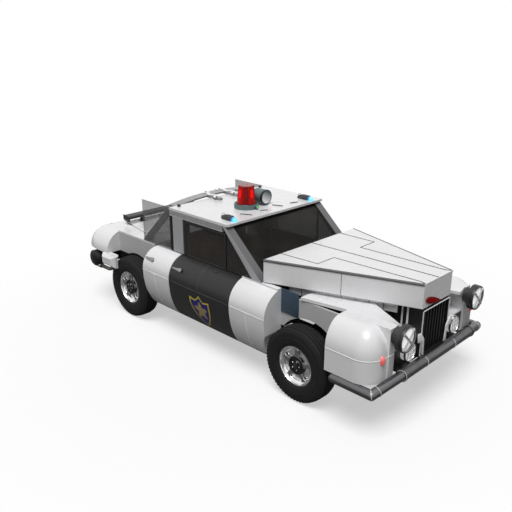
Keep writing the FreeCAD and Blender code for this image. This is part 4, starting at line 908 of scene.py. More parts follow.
def wheel(x, corner):
    """The pieces of one axle's two wheels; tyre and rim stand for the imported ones."""
    centre = (x, WHEEL_Y, HUB_Z)
    tyre_parts = joined(tyre(x))
    barrel = lathe([(-0.083, 0.188), (-0.083, 0.1985), (-0.074, 0.1985), (-0.066, 0.193), (-0.03, 0.184),
                    (0.04, 0.184), (0.064, 0.193), (0.074, 0.1985), (0.083, 0.198), (0.083, 0.19),
                    (0.078, 0.187), (0.072, 0.185), (0.062, 0.162), (0.054, 0.156), (0.046, 0.156),
                    (0.03, 0.17), (-0.03, 0.176), (-0.062, 0.186)], "y", centre, 72)
    dish = lathe([(0.012, 0.168), (0.018, 0.174), (0.04, 0.16), (0.046, 0.13), (0.046, 0.052),
                  (0.04, 0.052), (0.038, 0.128)], "y", centre)
    spoke = plate([(-0.036, 0.07), (-0.028, 0.096), (-0.019, 0.12), (-0.019, 0.146), (-0.032, 0.166),
                   (0.032, 0.166), (0.019, 0.146), (0.019, 0.12), (0.028, 0.096), (0.036, 0.07)], 0.018,
                  FACING_SIDE, (x, WHEEL_Y + 0.06, HUB_Z), 0.005)
    hub = lathe([(0, 0), (0, 0.06), (0.052, 0.062), (0.056, 0.094), (0.066, 0.094), (0.071, 0.088),
                 (0.068, 0.06), (0.074, 0.056), (0.074, 0.03), (0.066, 0.027), (0.066, 0)], "y", centre)
    nut = lathe([(0.06, 0), (0.06, 0.0085), (0.076, 0.008), (0.079, 0.005), (0.079, 0)], "y",
                (x + 0.043, WHEEL_Y, HUB_Z), 6)
    cap = lathe([(0.06, 0), (0.06, 0.024), (0.074, 0.0235), (0.08, 0.018), (0.082, 0)], "y", centre, 32)
    valve = bar([(x + 0.095, WHEEL_Y + 0.05, HUB_Z + 0.132), (x + 0.094, WHEEL_Y + 0.066, HUB_Z + 0.13),
                 (x + 0.093, WHEEL_Y + 0.08, HUB_Z + 0.128)], 0.0032)
    disc = lathe([(-0.002, 0.062), (-0.002, 0.136), (0.004, 0.136), (0.004, 0.128), (0.006, 0.128),
                  (0.006, 0.136), (0.012, 0.136), (0.012, 0.062)], "y", centre, 64)
    for part, pieces, finish in (
        ("tyre", tyre_parts, tyre_rubber),
        ("rim", [barrel, dish], alloy),
        ("spokes", around(spoke, 5, "y", centre), spoke_grey),
        ("hub", hub, hub_dark),
        ("nuts", [around(nut, 5, "y", centre), cap, valve], nut_steel),
        ("brake_disc", disc, disc_steel),
    ):
        name = "%s_%%s_%s" % (corner, part)
        pair(name, pieces, finish, corner + "_%s_wheel", replaces=(name,) if part in ("tyre", "rim") else ())


wheel(FRONT_X, "front")
wheel(REAR_X, "rear")

# ---- lamps at the front
lens_low, lens_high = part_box("headlamp_lenses")
LAMP_X, LENS_DEEP = lens_high.x, lens_high.x - lens_low.x
LAMP_Y, LAMP_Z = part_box("headlamp_housings")[1].y - 0.122, middle("headlamp_lenses", "z")
CROSS_REACH = 0.078
lamp_at = (LAMP_X, LAMP_Y, LAMP_Z)
pair("headlamp_rim_%s", lathe([
    (-LENS_DEEP - 0.006, 0.1215), (-0.004, 0.1215), (0.002, 0.1185), (0.002, 0.112), (-0.004, 0.111),
    (-LENS_DEEP, 0.118),
], "x", lamp_at, 64), shell_black)
pair("headlamp_cross_%s", [bar([
    (LAMP_X - 0.001, LAMP_Y - CROSS_REACH * lean, LAMP_Z - CROSS_REACH), (LAMP_X + 0.001, LAMP_Y, LAMP_Z),
    (LAMP_X - 0.001, LAMP_Y + CROSS_REACH * lean, LAMP_Z + CROSS_REACH),
], 0.011) for lean in (1, -1)], wall_grey)
pair("headlamp_inner_ring_%s", lathe([(0, 0.1115), (0.0015, 0.11), (0.001, 0.099), (0, 0.098)],
                                     "x", lamp_at, 64), chrome)

fog_low, fog_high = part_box("fog_lamps")
FOG_R = (fog_high.z - fog_low.z) / 2
FOG_X, FOG_Y, FOG_Z = fog_high.x, fog_high.y - FOG_R, middle("fog_lamps", "z")
guard = [lathe([(-0.014, FOG_R + 0.002), (0.003, FOG_R + 0.001), (0.005, FOG_R - 0.005),
                (0.001, FOG_R - 0.007), (-0.014, FOG_R - 0.004)], "x", (FOG_X, FOG_Y, FOG_Z))]
for off in (-0.04, 0, 0.04):
    reach = (FOG_R ** 2 - off ** 2) ** 0.5 - 0.004
    ends = ((0.001, -reach), (0.005, 0), (0.001, reach))
    guard.append(bar([(FOG_X + out, FOG_Y + off, FOG_Z + along) for out, along in ends], 0.0028, sides=2))
    guard.append(bar([(FOG_X + out, FOG_Y + along, FOG_Z + off) for out, along in ends], 0.0028, sides=2))
pair("fog_lamp_guard_%s", guard, chrome)

# ---- grille frame, its side bars and the core behind its bars
shell_low, shell_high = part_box("grille_shell")
GRILLE_Y, GRILLE_X = shell_high.y, shell_high.x
FIN_REAR, FIN_FRONT, FIN_SPREAD, FINS = 2.135, 2.15, 0.41, 30
edge_z = (shell_low.z + 0.01, (shell_low.z + shell_high.z) / 2, shell_high.z - 0.012)
frame_bars = [bar([(GRILLE_X, (GRILLE_Y - 0.006) * side, z) for z in edge_z], 0.0065) for side in BOTH]
frame_bars.append(bar([(GRILLE_X, y, shell_high.z - 0.01) for y in (0.006 - GRILLE_Y, 0, GRILLE_Y - 0.006)], 0.006))
fit("grille_frame_edge", frame_bars, pale_metal)
pair("grille_side_bars_%s", [
    block((x - half, GRILLE_Y - 0.002, shell_low.z + 0.24), (x + half, GRILLE_Y + 0.003, shell_high.z - 0.012),
          0.0015, 1)
    for x, half in ((2.0785, 0.01), (2.0235, 0.0085))
], white_paint)
fins = []
for index in range(FINS):
    y = index * FIN_SPREAD / (FINS - 1) - FIN_SPREAD / 2
    fins.append(block((FIN_REAR, y - 0.0012, shell_low.z + 0.03), (FIN_FRONT, y + 0.0012, shell_high.z - 0.03),
                      0.0005, 1))
fit("radiator_fins", fins, hub_dark)

# brackets between the headlamps and the grille
pair("lamp_arm_%s", plate([
    (0.301, 0.819), (0.25, 0.812), (0.196, 0.745), (0.178, 0.536), (0.204, 0.536), (0.224, 0.724), (0.287, 0.73),
], 0.01, FACING_FRONT, (2.238, 0, 0)), seam_white)

# pale joint rings and straps on the front bumper's pipes
PIPE_END, PIPE_CORNER = Vector((2.288, 0.6, 0.553)), Vector((2.208, 0.925, 0.47))
slant = PIPE_CORNER - PIPE_END
pair("front_bumper_rings_%s", [
    ring(PIPE_END + Vector((0, 0.001, 0)), (0, 1, 0), 0.049, 0.0026),
    ring(PIPE_END + slant * 0.8, slant, 0.0452, 0.0034),
    ring(PIPE_CORNER, slant.normalized() + Vector((-1, 0, 0)), 0.0475, 0.0036),
    ring((PIPE_END.x, 0.245, PIPE_END.z), (0, 1, 0), 0.0478, 0.0036),
], pale_metal)
pair("front_bumper_straps_%s", [bar([(2.14, y, 0.545), (2.22, y, 0.552), (2.27, y, 0.553)], 0.011)
                                for y in (0.36, 0.52)], black_plastic)

# ---- roof: dark strips as painted ridge shadows, straps, pods, beacon, siren
# painted shadow: these dark strips stand for the grey shade along low white ridges on the roof
ridge_shadow_strips = []
for first, last in (((0.072, -0.381), (0.189, -0.318)), ((0.124, -0.132), (0.171, -0.056)),
                    ((0.058, 0.126), (0.174, 0.182)), ((0.141, 0.334), (0.176, 0.431))):
    line = span((*first, ROOF + 0.002), (*last, ROOF + 0.002))
    line[1][2] = ROOF + 0.0035
    ridge_shadow_strips.append(bar(line, 0.006))
fit("roof_strips", ridge_shadow_strips, seam_dark)

STRAP_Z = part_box("roof_wing")[1].z
STRAP_FLAT = 0.26


def strap(spots):
    """A flat curved strap lying over the roof wing."""
    piece = bar([(x, y, 0) for x, y in spots], 0.021, sides=4, smooth=True)
    piece.data.transform(Matrix.Translation((0, 0, STRAP_Z + 0.002)) @ Matrix.Diagonal((1, 1, STRAP_FLAT, 1)))
    return piece


fit("roof_wing_straps", [
    strap([(-0.548, -0.165), (-0.6, -0.155), (-0.64, -0.075), (-0.72, -0.15), (-0.8, -0.06),
           (-0.835, -0.13), (-0.836, -0.03)]),
    strap([(-0.548, 0.105), (-0.6, 0.135), (-0.65, 0.205), (-0.72, 0.12), (-0.79, 0.19),
           (-0.832, 0.13), (-0.836, 0.075)]),
], white_paint)
fit("roof_wing_bolts", [
    lathe([(0, 0), (0, 0.012), (0.007, 0.011), (0.008, 0)], "z", (x, y, STRAP_Z + 0.004), 16)
    for x, y in ((-0.552, -0.16), (-0.826, -0.09), (-0.552, 0.11), (-0.826, 0.128))
], hub_dark)

POD_Y, POD_Z = 0.6, middle("roof_pods", "z") + 0.001
pod_low, pod_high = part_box("roof_pods")
pair("roof_pod_rim_%s", [
    ring((pod_high.x - 0.002, POD_Y, POD_Z), (1, 0, 0), 0.0235, 0.0032),
    ring((pod_low.x + 0.03, POD_Y, POD_Z), (1, 0, 0), 0.0245, 0.0022),
], black_plastic)

BASE_TOP, DOME_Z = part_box("beacon_base")[1].z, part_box("beacon_dome")[0].z
BEACON_X, BEACON_Y = middle("beacon_dome", "x"), middle("beacon_dome", "y")
PLUG_Y = -0.139
fit("beacon_flange", lathe([
    (-0.01, 0.108), (-0.01, 0.124), (-0.002, 0.126), (0.006, 0.118), (0.006, 0.108),
], "z", (BEACON_X, BEACON_Y, BASE_TOP), 64), shell_black)
fit("beacon_connector", [
    block((0.004, -0.166, ROOF + 0.004), (0.05, -0.112, ROOF + 0.04), 0.006),
    bar([(0.04, PLUG_Y, ROOF + 0.018), (0.07, -0.134, ROOF + 0.008), (0.086, -0.118, ROOF + 0.004)], 0.005),
    lathe([(0, 0), (0, 0.013), (0.012, 0.012), (0.014, 0)], "x", (0.048, PLUG_Y, ROOF + 0.02), 20),
], shell_black)
fit("beacon_pilot_light", ball((0.048, -0.098, ROOF + 0.02), (0.01, 0.01, 0.012), 20), lamp_green)
fit("beacon_reflector", [
    lathe([(0, 0), (0, 0.045), (0.012, 0.045), (0.014, 0.014), (0.15, 0.012), (0.152, 0)], "z",
          (BEACON_X, BEACON_Y, DOME_Z), 32),
    plate([(-0.055, -0.05), (0.055, -0.05), (0.05, 0.05), (-0.05, 0.05)], 0.004,
          (QUARTER, 0, radians(35)), (BEACON_X, BEACON_Y, DOME_Z + 0.095)),
], chrome)

siren_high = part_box("siren_horn")[1]
HORN = (siren_high.x, middle("siren_horn", "y"), siren_high.z - 0.08)
fit("siren_rim", lathe([
    (-0.02, 0.078), (-0.02, 0.0825), (0.004, 0.0825), (0.006, 0.078), (0.004, 0.07), (-0.004, 0.07),
], "x", HORN), shell_black)
fit("siren_face", lathe([
    (0.001, 0), (0.0015, 0.03), (0.003, 0.05), (0.005, 0.0705), (-0.002, 0.0705), (-0.002, 0),
], "x", HORN), horn_bowl)
pair("roof_rear_knob_%s", lathe([
    (-0.004, 0), (-0.004, 0.022), (0.01, 0.02), (0.024, 0.014), (0.026, 0),
], "z", (-0.64, 0.64, ROOF), 24), shell_black)

# ---- aerofoil on the trunk lid
foil_low, foil_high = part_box("rear_wing")
chord = foil_high.x - foil_low.x
FOIL_Z, POST_Y = foil_high.z - 0.046, 0.3
foil_outline = [(0, 0.012), (0.02, 0), (0.3, 0.006), (0.7, 0.016), (1, 0.03), (0.96, 0.034),
                (0.7, 0.03), (0.4, 0.034), (0.14, 0.034), (0.03, 0.026)]
foil = [plate([(-along * chord * 0.96, up) for along, up in foil_outline], foil_high.y - foil_low.y - 0.012,
              FACING_SIDE, (foil_high.x - 0.003, 0, FOIL_Z), 0.003)]
for side in BOTH:
    foil += [
        plate([(0, -0.034), (-chord * 0.5, -0.044), (-chord * 0.96, -0.02), (-chord * 0.98, 0.044),
               (-chord * 0.5, 0.04), (0, 0.03)], 0.008, FACING_SIDE,
              (foil_high.x - 0.002, (foil_high.y - 0.005) * side, FOIL_Z), 0.002),
        block((foil_low.x + 0.035, POST_Y - 0.014, foil_low.z),
              (foil_high.x - 0.04, POST_Y + 0.014, foil_high.z - 0.03), 0.006, side=side),
        block((foil_low.x + 0.02, POST_Y - 0.03, foil_low.z),
              (foil_high.x - 0.02, POST_Y + 0.03, foil_low.z + 0.008), 0.003, side=side),
    ]
fit("deck_wing", foil, shell_black, "trunk_lid", ("rear_wing",))

# ---- windscreen: header and sill rails
screen_low, screen_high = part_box("windscreen")
screen_run = Vector((screen_high.x - screen_low.x, 0, screen_low.z - screen_high.z))
screen_out = Vector((-screen_run.z, 0, screen_run.x)).normalized()


def screen_rail(share, half, wide, thick):
    """A flat rail across the windscreen: share is 0 at its top edge and 1 at its bottom edge."""
    centre = Vector((screen_low.x, 0, screen_high.z)) + screen_run * share + screen_out * 0.002
    piece = block((-half, -wide / 2, -thick / 2), (half, wide / 2, thick / 2), thick * 0.3)
    along, across = Vector((0, 1, 0)), screen_run.normalized()
    turn = Matrix((along, across, along.cross(across))).transposed().to_4x4()
    piece.data.transform(Matrix.Translation(centre) @ turn)
    return piece


fit("windscreen_rails", [screen_rail(0.975, 0.64, 0.02, 0.008), screen_rail(0.075, 0.635, 0.042, 0.007)], seam_dark)


# ---- padded seats
PRESS_STEPS, PRESSURE, SEW_REACH, EDGE_KEEP = 20, 4, 0.02, 0.002
MOST_TRAVEL = 0.022


def padded_seat(name, node, parts, voxel, channels):
    """Blocks melted into one pad, swollen by cloth pressure, and sewn in channels."""
    piece = joined(parts)
    modified(piece, "REMESH", mode="VOXEL", voxel_size=voxel)
    points = piece.data.vertices
    start = [point.co.copy() for point in points]
    alone(piece)
    pad = piece.modifiers.new("Cloth", "CLOTH")
    pad.settings.use_pressure = True
    pad.settings.uniform_pressure_force = PRESSURE
    pad.settings.effector_weights.gravity = 0
    pad.point_cache.frame_start = 1
    pad.point_cache.frame_end = PRESS_STEPS
    for step in range(1, PRESS_STEPS + 1):
        scene.frame_set(step)
    bpy.ops.object.modifier_apply(modifier=pad.name)
    scene.frame_set(1)
    for point, home in zip(points, start):
        travel = point.co - home
        if travel.length > MOST_TRAVEL:
            point.co = home + travel.normalized() * MOST_TRAVEL
    for point in points:
        for lows, highs, axis, spots, push in channels:
            if all(low <= value <= high for low, value, high in zip(lows, point.co, highs)):
                nearest = min(abs(point.co[axis] - spot) for spot in spots)
                point.co += Vector(push) * max(0, 1 - nearest / SEW_REACH) ** 2
    low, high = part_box(node)
    for point in points:
        point.co = [min(max(value, least + EDGE_KEEP), most - EDGE_KEEP)
                    for value, least, most in zip(point.co, low, high)]
    modified(piece, "SUBSURF", levels=1, render_levels=1)
    fit(name, piece, seat_cloth, replaces=(node,))
    alone(piece)
    bpy.ops.object.shade_smooth()


# each front seat: cushion, two bolsters, back, two side wings, head roll and its stem
padded_seat("front_seats_padded", "front_seats", [
    block(low, high, bevel, 4, side) for side in BOTH for low, high, bevel in (
        ((-0.345, 0.125, 0.582), (0.128, 0.555, 0.662), 0.03),
        ((-0.33, 0.122, 0.582), (0.12, 0.18, 0.678), 0.024),
        ((-0.33, 0.5, 0.582), (0.12, 0.558, 0.678), 0.024),
        ((-0.408, 0.13, 0.64), (-0.345, 0.55, 1.07), 0.028),
        ((-0.404, 0.124, 0.66), (-0.33, 0.178, 1.02), 0.024),
        ((-0.404, 0.502, 0.66), (-0.33, 0.556, 1.02), 0.024),
        ((-0.406, 0.23, 1.09), (-0.34, 0.45, 1.205), 0.03),
        ((-0.385, 0.3, 1.05), (-0.36, 0.38, 1.11), 0.01),
    )
], 0.011, [
    ((-0.25, -0.6, 0.66), (0.1, 0.6, 0.8), 0, (-0.17, -0.07, 0.03), (0, 0, -0.011)),
    ((-0.36, -0.6, 0.7), (-0.3, 0.6, 1.05), 2, (0.78, 0.88, 0.98), (-0.011, 0, 0)),
])
BENCH_SEAMS = (-0.38, -0.19, 0, 0.19, 0.38)
padded_seat("rear_bench_padded", "rear_seat", [
    block((-0.862, -0.578, 0.582), (-0.522, 0.578, 0.668), 0.034, 4),
    block((-0.938, -0.578, 0.64), (-0.858, 0.578, 1.068), 0.034, 4),
], 0.0125, [
    ((-0.84, -0.56, 0.66), (-0.53, 0.56, 0.8), 1, BENCH_SEAMS, (0, 0, -0.012)),
    ((-0.88, -0.56, 0.72), (-0.8, 0.56, 1.05), 1, BENCH_SEAMS, (-0.012, 0, 0)),
])

# ---- cabin: dials, vents, levers, pedals, visors, door cards
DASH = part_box("dashboard")[0].x
FLOOR = 0.322
CARD_INNER, CARD_OUTER, TRIM_OUTER = 0.6925, 0.7015, 0.694
dials, faces = [], []
for y, z, radius in ((0.44, 0.875, 0.048), (0.32, 0.875, 0.06), (0.2, 0.875, 0.048), (0.1, 0.885, 0.028),
                     (0.03, 0.885, 0.028)):
    dials.append(lathe([(-0.012, radius - 0.006), (-0.014, radius - 0.002), (-0.01, radius), (0.004, radius),
                        (0.004, radius - 0.008)], "x", (DASH, y, z), 32))
    faces.append(lathe([(-0.003, 0), (-0.003, radius - 0.007), (0.004, radius - 0.007), (0.004, 0)], "x",
                       (DASH, y, z), 24))
    faces.append(bar([(DASH - 0.004, y, z), (DASH - 0.005, y - radius * 0.3, z + radius * 0.45),
                      (DASH - 0.004, y - radius * 0.42, z + radius * 0.62)], 0.0014, sides=1))
for y in (0.14, 0.05, -0.04):
    dials.append(lathe([(-0.02, 0), (-0.02, 0.008), (-0.004, 0.011), (0.003, 0.011), (0.003, 0)], "x",
                       (DASH, y, 0.8), 20))
fit("dash_dials", dials, nut_steel)
fit("dash_dial_faces", faces, pale_metal)
trim = []
for y in (0.575, -0.16, -0.575):
    trim.append(block((DASH - 0.008, y - 0.052, 0.846), (DASH + 0.003, y + 0.052, 0.912)))
    trim += [block((DASH - 0.013, y - 0.046, 0.853 + step * 0.012), (DASH - 0.006, y + 0.046, 0.857 + step * 0.012),
                   0.001, 1) for step in range(5)]
trim += [block((DASH - 0.006, -0.5, 0.765), (DASH + 0.003, -0.2, 0.838), 0.006),
         block((DASH - 0.018, -0.11, 0.82), (DASH + 0.003, 0, 0.86)),
         block((DASH - 0.012, -0.636, 0.936), (DASH + 0.06, 0.636, 0.962), 0.011, 3)]
fit("dash_trim", trim, soft_black)
levers = [
    bar([(0.2, 0, FLOOR + 0.1), (0.17, 0, FLOOR + 0.26), (0.15, 0, FLOOR + 0.36)], 0.008),
    ball((0.149, 0, FLOOR + 0.372), (0.022, 0.022, 0.026), 20),
    bar([(-0.06, 0.03, FLOOR + 0.12), (0.02, 0.03, FLOOR + 0.17), (0.09, 0.03, FLOOR + 0.2)], 0.011),
    block((-0.26, -0.06, FLOOR - 0.01), (0.3, 0.06, FLOOR + 0.115), 0.018, 3),
]
for y, half in ((0.43, 0.03), (0.34, 0.034), (0.25, 0.022)):
    levers += [block((0.628, y - half, 0.4), (0.642, y + half, 0.46)),
               bar([(0.64, y, 0.45), (0.69, y, 0.56), (0.7, y, 0.7)], 0.007)]
for side in BOTH:
    levers.append(bar([(0.485, 0.34 + 0.04 * side, 0.905), (0.48, 0.34 + 0.11 * side, 0.915),
                       (0.478, 0.34 + 0.15 * side, 0.92)], 0.0055))
fit("cabin_levers", levers, black_plastic)
visors, mats = [], []
for side in BOTH:
    visors += [block((0, 0.17, 1.372), (0.15, 0.56, 1.39), 0.007, 3, side),
               bar([(0.145, y * side, 1.384) for y in (0.15, 0.36, 0.6)], 0.005)]
fit("sun_visors", visors, wall_grey)
mirror_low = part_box("rear_view_mirror")[0]
fit("mirror_face", plate([(-0.1, -0.022), (0.1, -0.022), (0.094, 0.024), (-0.094, 0.024)], 0.002,
                         (QUARTER, 0, -QUARTER), (mirror_low.x - 0.001, 0, mirror_low.z + 0.03)), mirror_glass)
for side in BOTH:
    mats += [block((0.16, 0.13, FLOOR - 0.004), (0.62, 0.6, FLOOR + 0.008), 0.005, 3, side),
             block((-0.48, 0.13, FLOOR - 0.004), (-0.36, 0.6, FLOOR + 0.008), 0.004, 3, side)]
fit("floor_mats", mats, carpet)


def door_card(start, end):
    """A door's inner card with its arm rest, pocket, pull and window winder."""
    def at(share):
        return start + (end - start) * share
    return [
        block((start, CARD_INNER, 0.46), (end, CARD_OUTER, 0.94)),
        block((at(0.18), 0.65, 0.64), (at(0.72), TRIM_OUTER, 0.672), 0.01, 3),
        block((start + 0.03, 0.678, 0.49), (end - 0.05, TRIM_OUTER, 0.57), 0.008, 3),
        bar([(at(0.62), 0.676, 0.78), (at(0.72), 0.67, 0.78), (at(0.8), 0.676, 0.78)], 0.006),
        bar([(end - 0.1, 0.69, 0.7), (end - 0.1, 0.676, 0.7), (end - 0.155, 0.674, 0.725)], 0.006),
        ball((end - 0.157, 0.668, 0.726), (0.012, 0.01, 0.012), 16),
    ]


pair("front_%s_door_card", door_card(-0.42, 0.4), cabin_plastic, "front_%s_door")
pair("rear_%s_door_card", door_card(-0.93, -0.66), cabin_plastic, "rear_%s_door")

# ---- engine bay
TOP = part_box("engine_block")[1].z
INTAKE = (1.36, 0, TOP)
BELT_X, FAN_X, FAN_Z = 1.731, 1.758, 0.79
fit("air_cleaner", [
    lathe([(0.015, 0), (0.015, 0.11), (0.022, 0.142), (0.03, 0.146), (0.07, 0.146), (0.078, 0.14),
           (0.084, 0.06), (0.09, 0.014), (0.104, 0.01), (0.104, 0)], "z", INTAKE),
    lathe([(-0.01, 0), (-0.01, 0.055), (0.018, 0.05), (0.018, 0)], "z", INTAKE, 32),
], chassis_paint)
covers = []
for side in BOTH:
    covers.append(block((1.1, 0.12, TOP - 0.03), (1.66, 0.205, TOP + 0.028), 0.014, 3, side))
    covers += [block((x - 0.004, 0.13, TOP + 0.024), (x + 0.004, 0.195, TOP + 0.033), 0.002, 1, side)
               for x in (1.14 + step * 0.06 for step in range(9))]
fit("rocker_covers", covers, alloy)
fit("engine_pulleys", [
    lathe([(-0.009, 0), (-0.009, radius), (-0.005, radius + 0.004), (0, radius - 0.006), (0.005, radius + 0.004),
           (0.009, radius), (0.011, radius * 0.4), (0.011, 0)], "x", (BELT_X, y, z), 40)
    for y, z, radius in ((0, 0.6, 0.075), (0, 0.79, 0.06), (0.15, 0.83, 0.034), (-0.15, 0.76, 0.042))
], nut_steel)
belt = bar([(BELT_X, y, z) for y, z in (
    (0.078, 0.6), (0.184, 0.826), (0.15, 0.866), (0, 0.852), (-0.06, 0.8), (-0.19, 0.775),
    (-0.18, 0.73), (-0.07, 0.565), (0, 0.524), (0.06, 0.555))], 0.0055, closed=True, sides=2)
blade = plate([(-0.026, 0.03), (-0.04, 0.15), (0.014, 0.16), (0.022, 0.034)], 0.003,
              (QUARTER, radians(24), QUARTER), (FAN_X, 0, FAN_Z))
fit("engine_fan", [
    lathe([(1.744, 0), (1.744, 0.036), (1.764, 0.034), (1.768, 0)], "x", (0, 0, FAN_Z), 24),
    around(blade, 6, "x", (FAN_X, 0, FAN_Z)),
], black_plastic)
fit("engine_hoses", [belt] + [bar(spots, radius, smooth=True) for radius, spots in (
    (0.02, [(1.7, 0.05, 0.88), (1.78, 0.06, 0.93), (1.9, 0.12, 0.95), (2.05, 0.15, 0.95)]),
    (0.02, [(1.72, -0.1, 0.62), (1.8, -0.12, 0.6), (1.92, -0.14, 0.62), (2.05, -0.15, 0.63)]),
    (0.01, [(1.15, 0.1, 0.95), (1.05, 0.14, 0.99), (0.95, 0.16, 0.95), (0.9, 0.16, 0.9)]),
    (0.01, [(1.15, 0.06, 0.95), (1.05, 0.1, 1), (0.95, 0.11, 0.96), (0.9, 0.11, 0.9)]),
)], soft_black)
terminals = [lathe([(0.888, 0), (0.888, 0.011), (0.906, 0.01), (0.908, 0)], "z", (x, 0.52, 0), 16)
             for x in (1.14, 1.28)]
fit("bay_parts", [
    block((1.1, 0.44, 0.7), (1.32, 0.6, 0.89), 0.006),
    *terminals,
    lathe([(0.925, 0), (0.925, 0.085), (0.955, 0.108), (0.97, 0.108), (1, 0.08), (1.012, 0.03),
           (1.11, 0.024), (1.112, 0)], "x", (0, 0.36, 0.86), 40),
    block((1.06, -0.6, 0.72), (1.24, -0.46, 0.9), 0.018, 3),
    lathe([(0.898, 0), (0.898, 0.026), (0.916, 0.024), (0.918, 0)], "z", (1.15, -0.53, 0), 24),
], black_plastic)
manifolds = []
for side in BOTH:
    for x in (1.18, 1.32, 1.46, 1.6):
        manifolds.append(bar([(x, 0.215 * side, 0.84), (x - 0.02, 0.262 * side, 0.82),
                              (x - 0.05, 0.275 * side, 0.77)], 0.019, smooth=True))
    manifolds.append(bar([(1.62, 0.272 * side, 0.765), (1.35, 0.276 * side, 0.76), (1.08, 0.272 * side, 0.74)],
                         0.026))
fit("exhaust_manifolds", manifolds, exhaust)
radiator = [block((1.995, -0.215, 0.955), (2.12, 0.215, 0.985), 0.008, 3),
            block((1.995, -0.215, 0.585), (2.12, 0.215, 0.615), 0.008, 3),
            block((2.02, -0.212, 0.612), (2.095, 0.212, 0.958), 0.003, 1)]
for step in range(28):
    z = 0.624 + step * 0.012
    radiator.append(block((2.012, -0.208, z), (2.022, 0.208, z + 0.003), 0.0008, 1))
fit("radiator", radiator, hub_dark)

# ---- trunk: mat, spare wheel and tool box
tub_low, tub_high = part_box("trunk_tub")
MAT_Z = tub_low.z + 0.022
fit("trunk_mat", block((tub_low.x + 0.05, -0.58, MAT_Z), (tub_high.x - 0.05, 0.58, MAT_Z + 0.012), 0.006, 3), carpet)
spare_at = (-1.5, -0.18, MAT_Z + 0.115)
wall = [(0.078, 0.19), (0.088, 0.215), (0.092, 0.262), (0.084, 0.305), (0.066, 0.318)]
fit("spare_tyre", lathe([(-along, radius) for along, radius in wall] + wall[::-1], "z", spare_at, 64), tyre_rubber)
fit("spare_rim", lathe([
    (-0.072, 0.176), (-0.078, 0.191), (0.078, 0.191), (0.072, 0.176), (0.05, 0.17), (0, 0.15),
    (-0.01, 0.06), (-0.002, 0.05), (0.01, 0.06), (0.012, 0.14), (0.002, 0.16),
], "z", spare_at), alloy)
fit("trunk_kit_box", [
    block((-1.62, 0.24, MAT_Z + 0.01), (-1.22, 0.48, MAT_Z + 0.16), 0.012, 3),
    block((-1.625, 0.235, MAT_Z + 0.13), (-1.215, 0.485, MAT_Z + 0.15), 0.006),
    bar([(x, 0.36, MAT_Z + up) for x, up in ((-1.47, 0.158), (-1.47, 0.185), (-1.37, 0.185), (-1.37, 0.158))], 0.006),
], black_plastic)

# ---- rear: plate, bumper ends, lamps, exhaust tip, lid trim
PIPE_X, PIPE_Z, PIPE_R = -2.05, 0.6, 0.1
BACK = PIPE_X - PIPE_R
tail_low, tail_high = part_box("tail_lamps")
TAIL_Y, TAIL_Z = tail_high.y - 0.058, (tail_low.z + tail_high.z) / 2
fit("blank_plate", block((BACK - 0.012, -0.26, 0.54), (BACK - 0.006, 0.26, 0.655), 0.003), pale_metal)
screws = [lathe([(-0.016, 0), (-0.016, 0.007), (-0.01, 0.008), (-0.01, 0)], "x", (BACK, 0.2 * side, 0.635), 12)
          for side in BOTH]
fit("plate_holder", [
    block((BACK - 0.007, -0.275, 0.528), (BACK + 0.008, 0.275, 0.667)),
    *screws,
    block((BACK - 0.02, -0.035, 0.666), (BACK + 0.03, 0.035, 0.69), 0.005),
], black_plastic)
pair("rear_bumper_end_%s", [
    lathe([(0.93, 0), (0.93, PIPE_R - 0.004), (0.938, PIPE_R + 0.004), (0.95, PIPE_R - 0.01), (0.956, 0)],
          "y", (PIPE_X, 0, PIPE_Z)),
    ring((PIPE_X, 0.64, PIPE_Z), (0, 1, 0), PIPE_R, 0.0036),
    ring((PIPE_X, 0.3, PIPE_Z), (0, 1, 0), PIPE_R, 0.0036),
], hub_dark)
turns = [2 * pi * step / 32 for step in range(32)]
pair("tail_lamp_rim_%s", bar([(tail_low.x + 0.03, TAIL_Y + 0.06 * cos(turn), TAIL_Z + 0.03 * sin(turn))
                              for turn in turns], 0.0036, closed=True), chrome)
pair("reversing_lamp_%s", ball((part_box("rear_deck")[0].x + 0.028, 0.34, TAIL_Z), (0.022, 0.04, 0.022), 28), lamp_white)
pair("deck_lamp_%s", ball((-2.15, 0.59, 0.957), (0.02, 0.026, 0.009)), lamp_red)
exhaust_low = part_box("exhaust_pipe")[0]
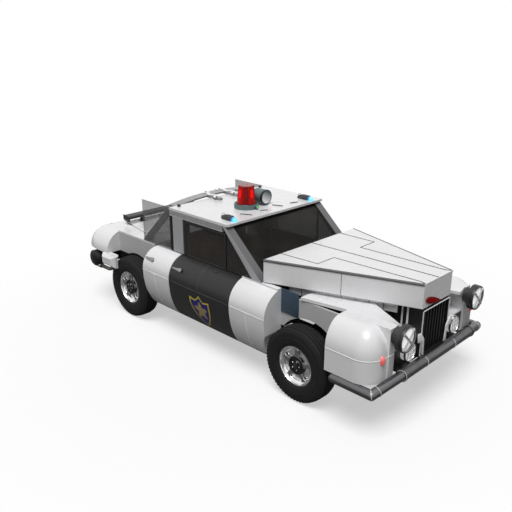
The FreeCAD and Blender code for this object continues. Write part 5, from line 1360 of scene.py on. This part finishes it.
fit("exhaust_tip", lathe([(-0.004, 0.03), (-0.004, 0.034), (0.07, 0.033), (0.07, 0.026), (0.004, 0.026)], "x",
                         (exhaust_low.x, exhaust_low.y + 0.024, 0.44), 40), chrome)
lid_low, lid_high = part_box("trunk_lid")
fit("trunk_lid_trim", [
    bar([(lid_low.x + 0.012, lid_high.y * share, lid_high.z) for share in (-0.8, 0, 0.8)], 0.004),
    lathe([(0, 0), (0.006, 0.013), (-0.004, 0.016), (-0.01, 0)], "z",
          (lid_low.x + 0.05, 0, lid_high.z - 0.001), 24),
], seam_grey, "trunk_lid")
fit("fuel_cap", lathe([
    (0, 0), (0.004, 0.028), (0.008, 0.04), (0.002, 0.046), (-0.01, 0.046), (-0.01, 0),
], "y", (-2.02, SIDE - 0.016, WAIST + 0.085), 32), seam_grey)

# ---- underbody: prop shaft, bell housing, tank, dampers
fit("prop_shaft", [
    bar([(0.84, 0, 0.262), (-0.2, 0, 0.26), (-1.16, 0, 0.3)], 0.026),
    bar([(0.96, 0, 0.45), (0.9, 0, 0.35), (0.85, 0, 0.27)], 0.03, smooth=True),
    lathe([(0.93, 0), (0.93, 0.06), (0.99, 0.095), (1.058, 0.15), (1.064, 0.15), (1.064, 0)], "x",
          (0, 0, 0.56), 36),
    *[ball((x, 0, z), (0.04, 0.04, 0.04), 20) for x, z in ((0.845, 0.264), (-1.16, 0.3), (-0.2, 0.26))],
], iron)
fit("fuel_tank", [block((-1.9, -0.315, 0.405), (-1.56, 0.315, 0.535), 0.03, 3)] + [
    block((-1.905, y - 0.016, 0.401), (-1.555, y + 0.016, 0.54), 0.006) for y in (-0.18, 0.18)
], chassis_paint)
pair("rear_damper_%s", [
    bar([(REAR_X + 0.075, 0.47, 0.395), (REAR_X + 0.085, 0.466, 0.45), (REAR_X + 0.095, 0.462, 0.5)], 0.024),
    bar([(REAR_X + 0.095, 0.462, 0.495), (REAR_X + 0.1, 0.46, 0.53), (REAR_X + 0.104, 0.458, 0.556)], 0.011),
    ball((REAR_X + 0.074, 0.47, 0.388), (0.024, 0.02, 0.024), 16),
], hub_dark)
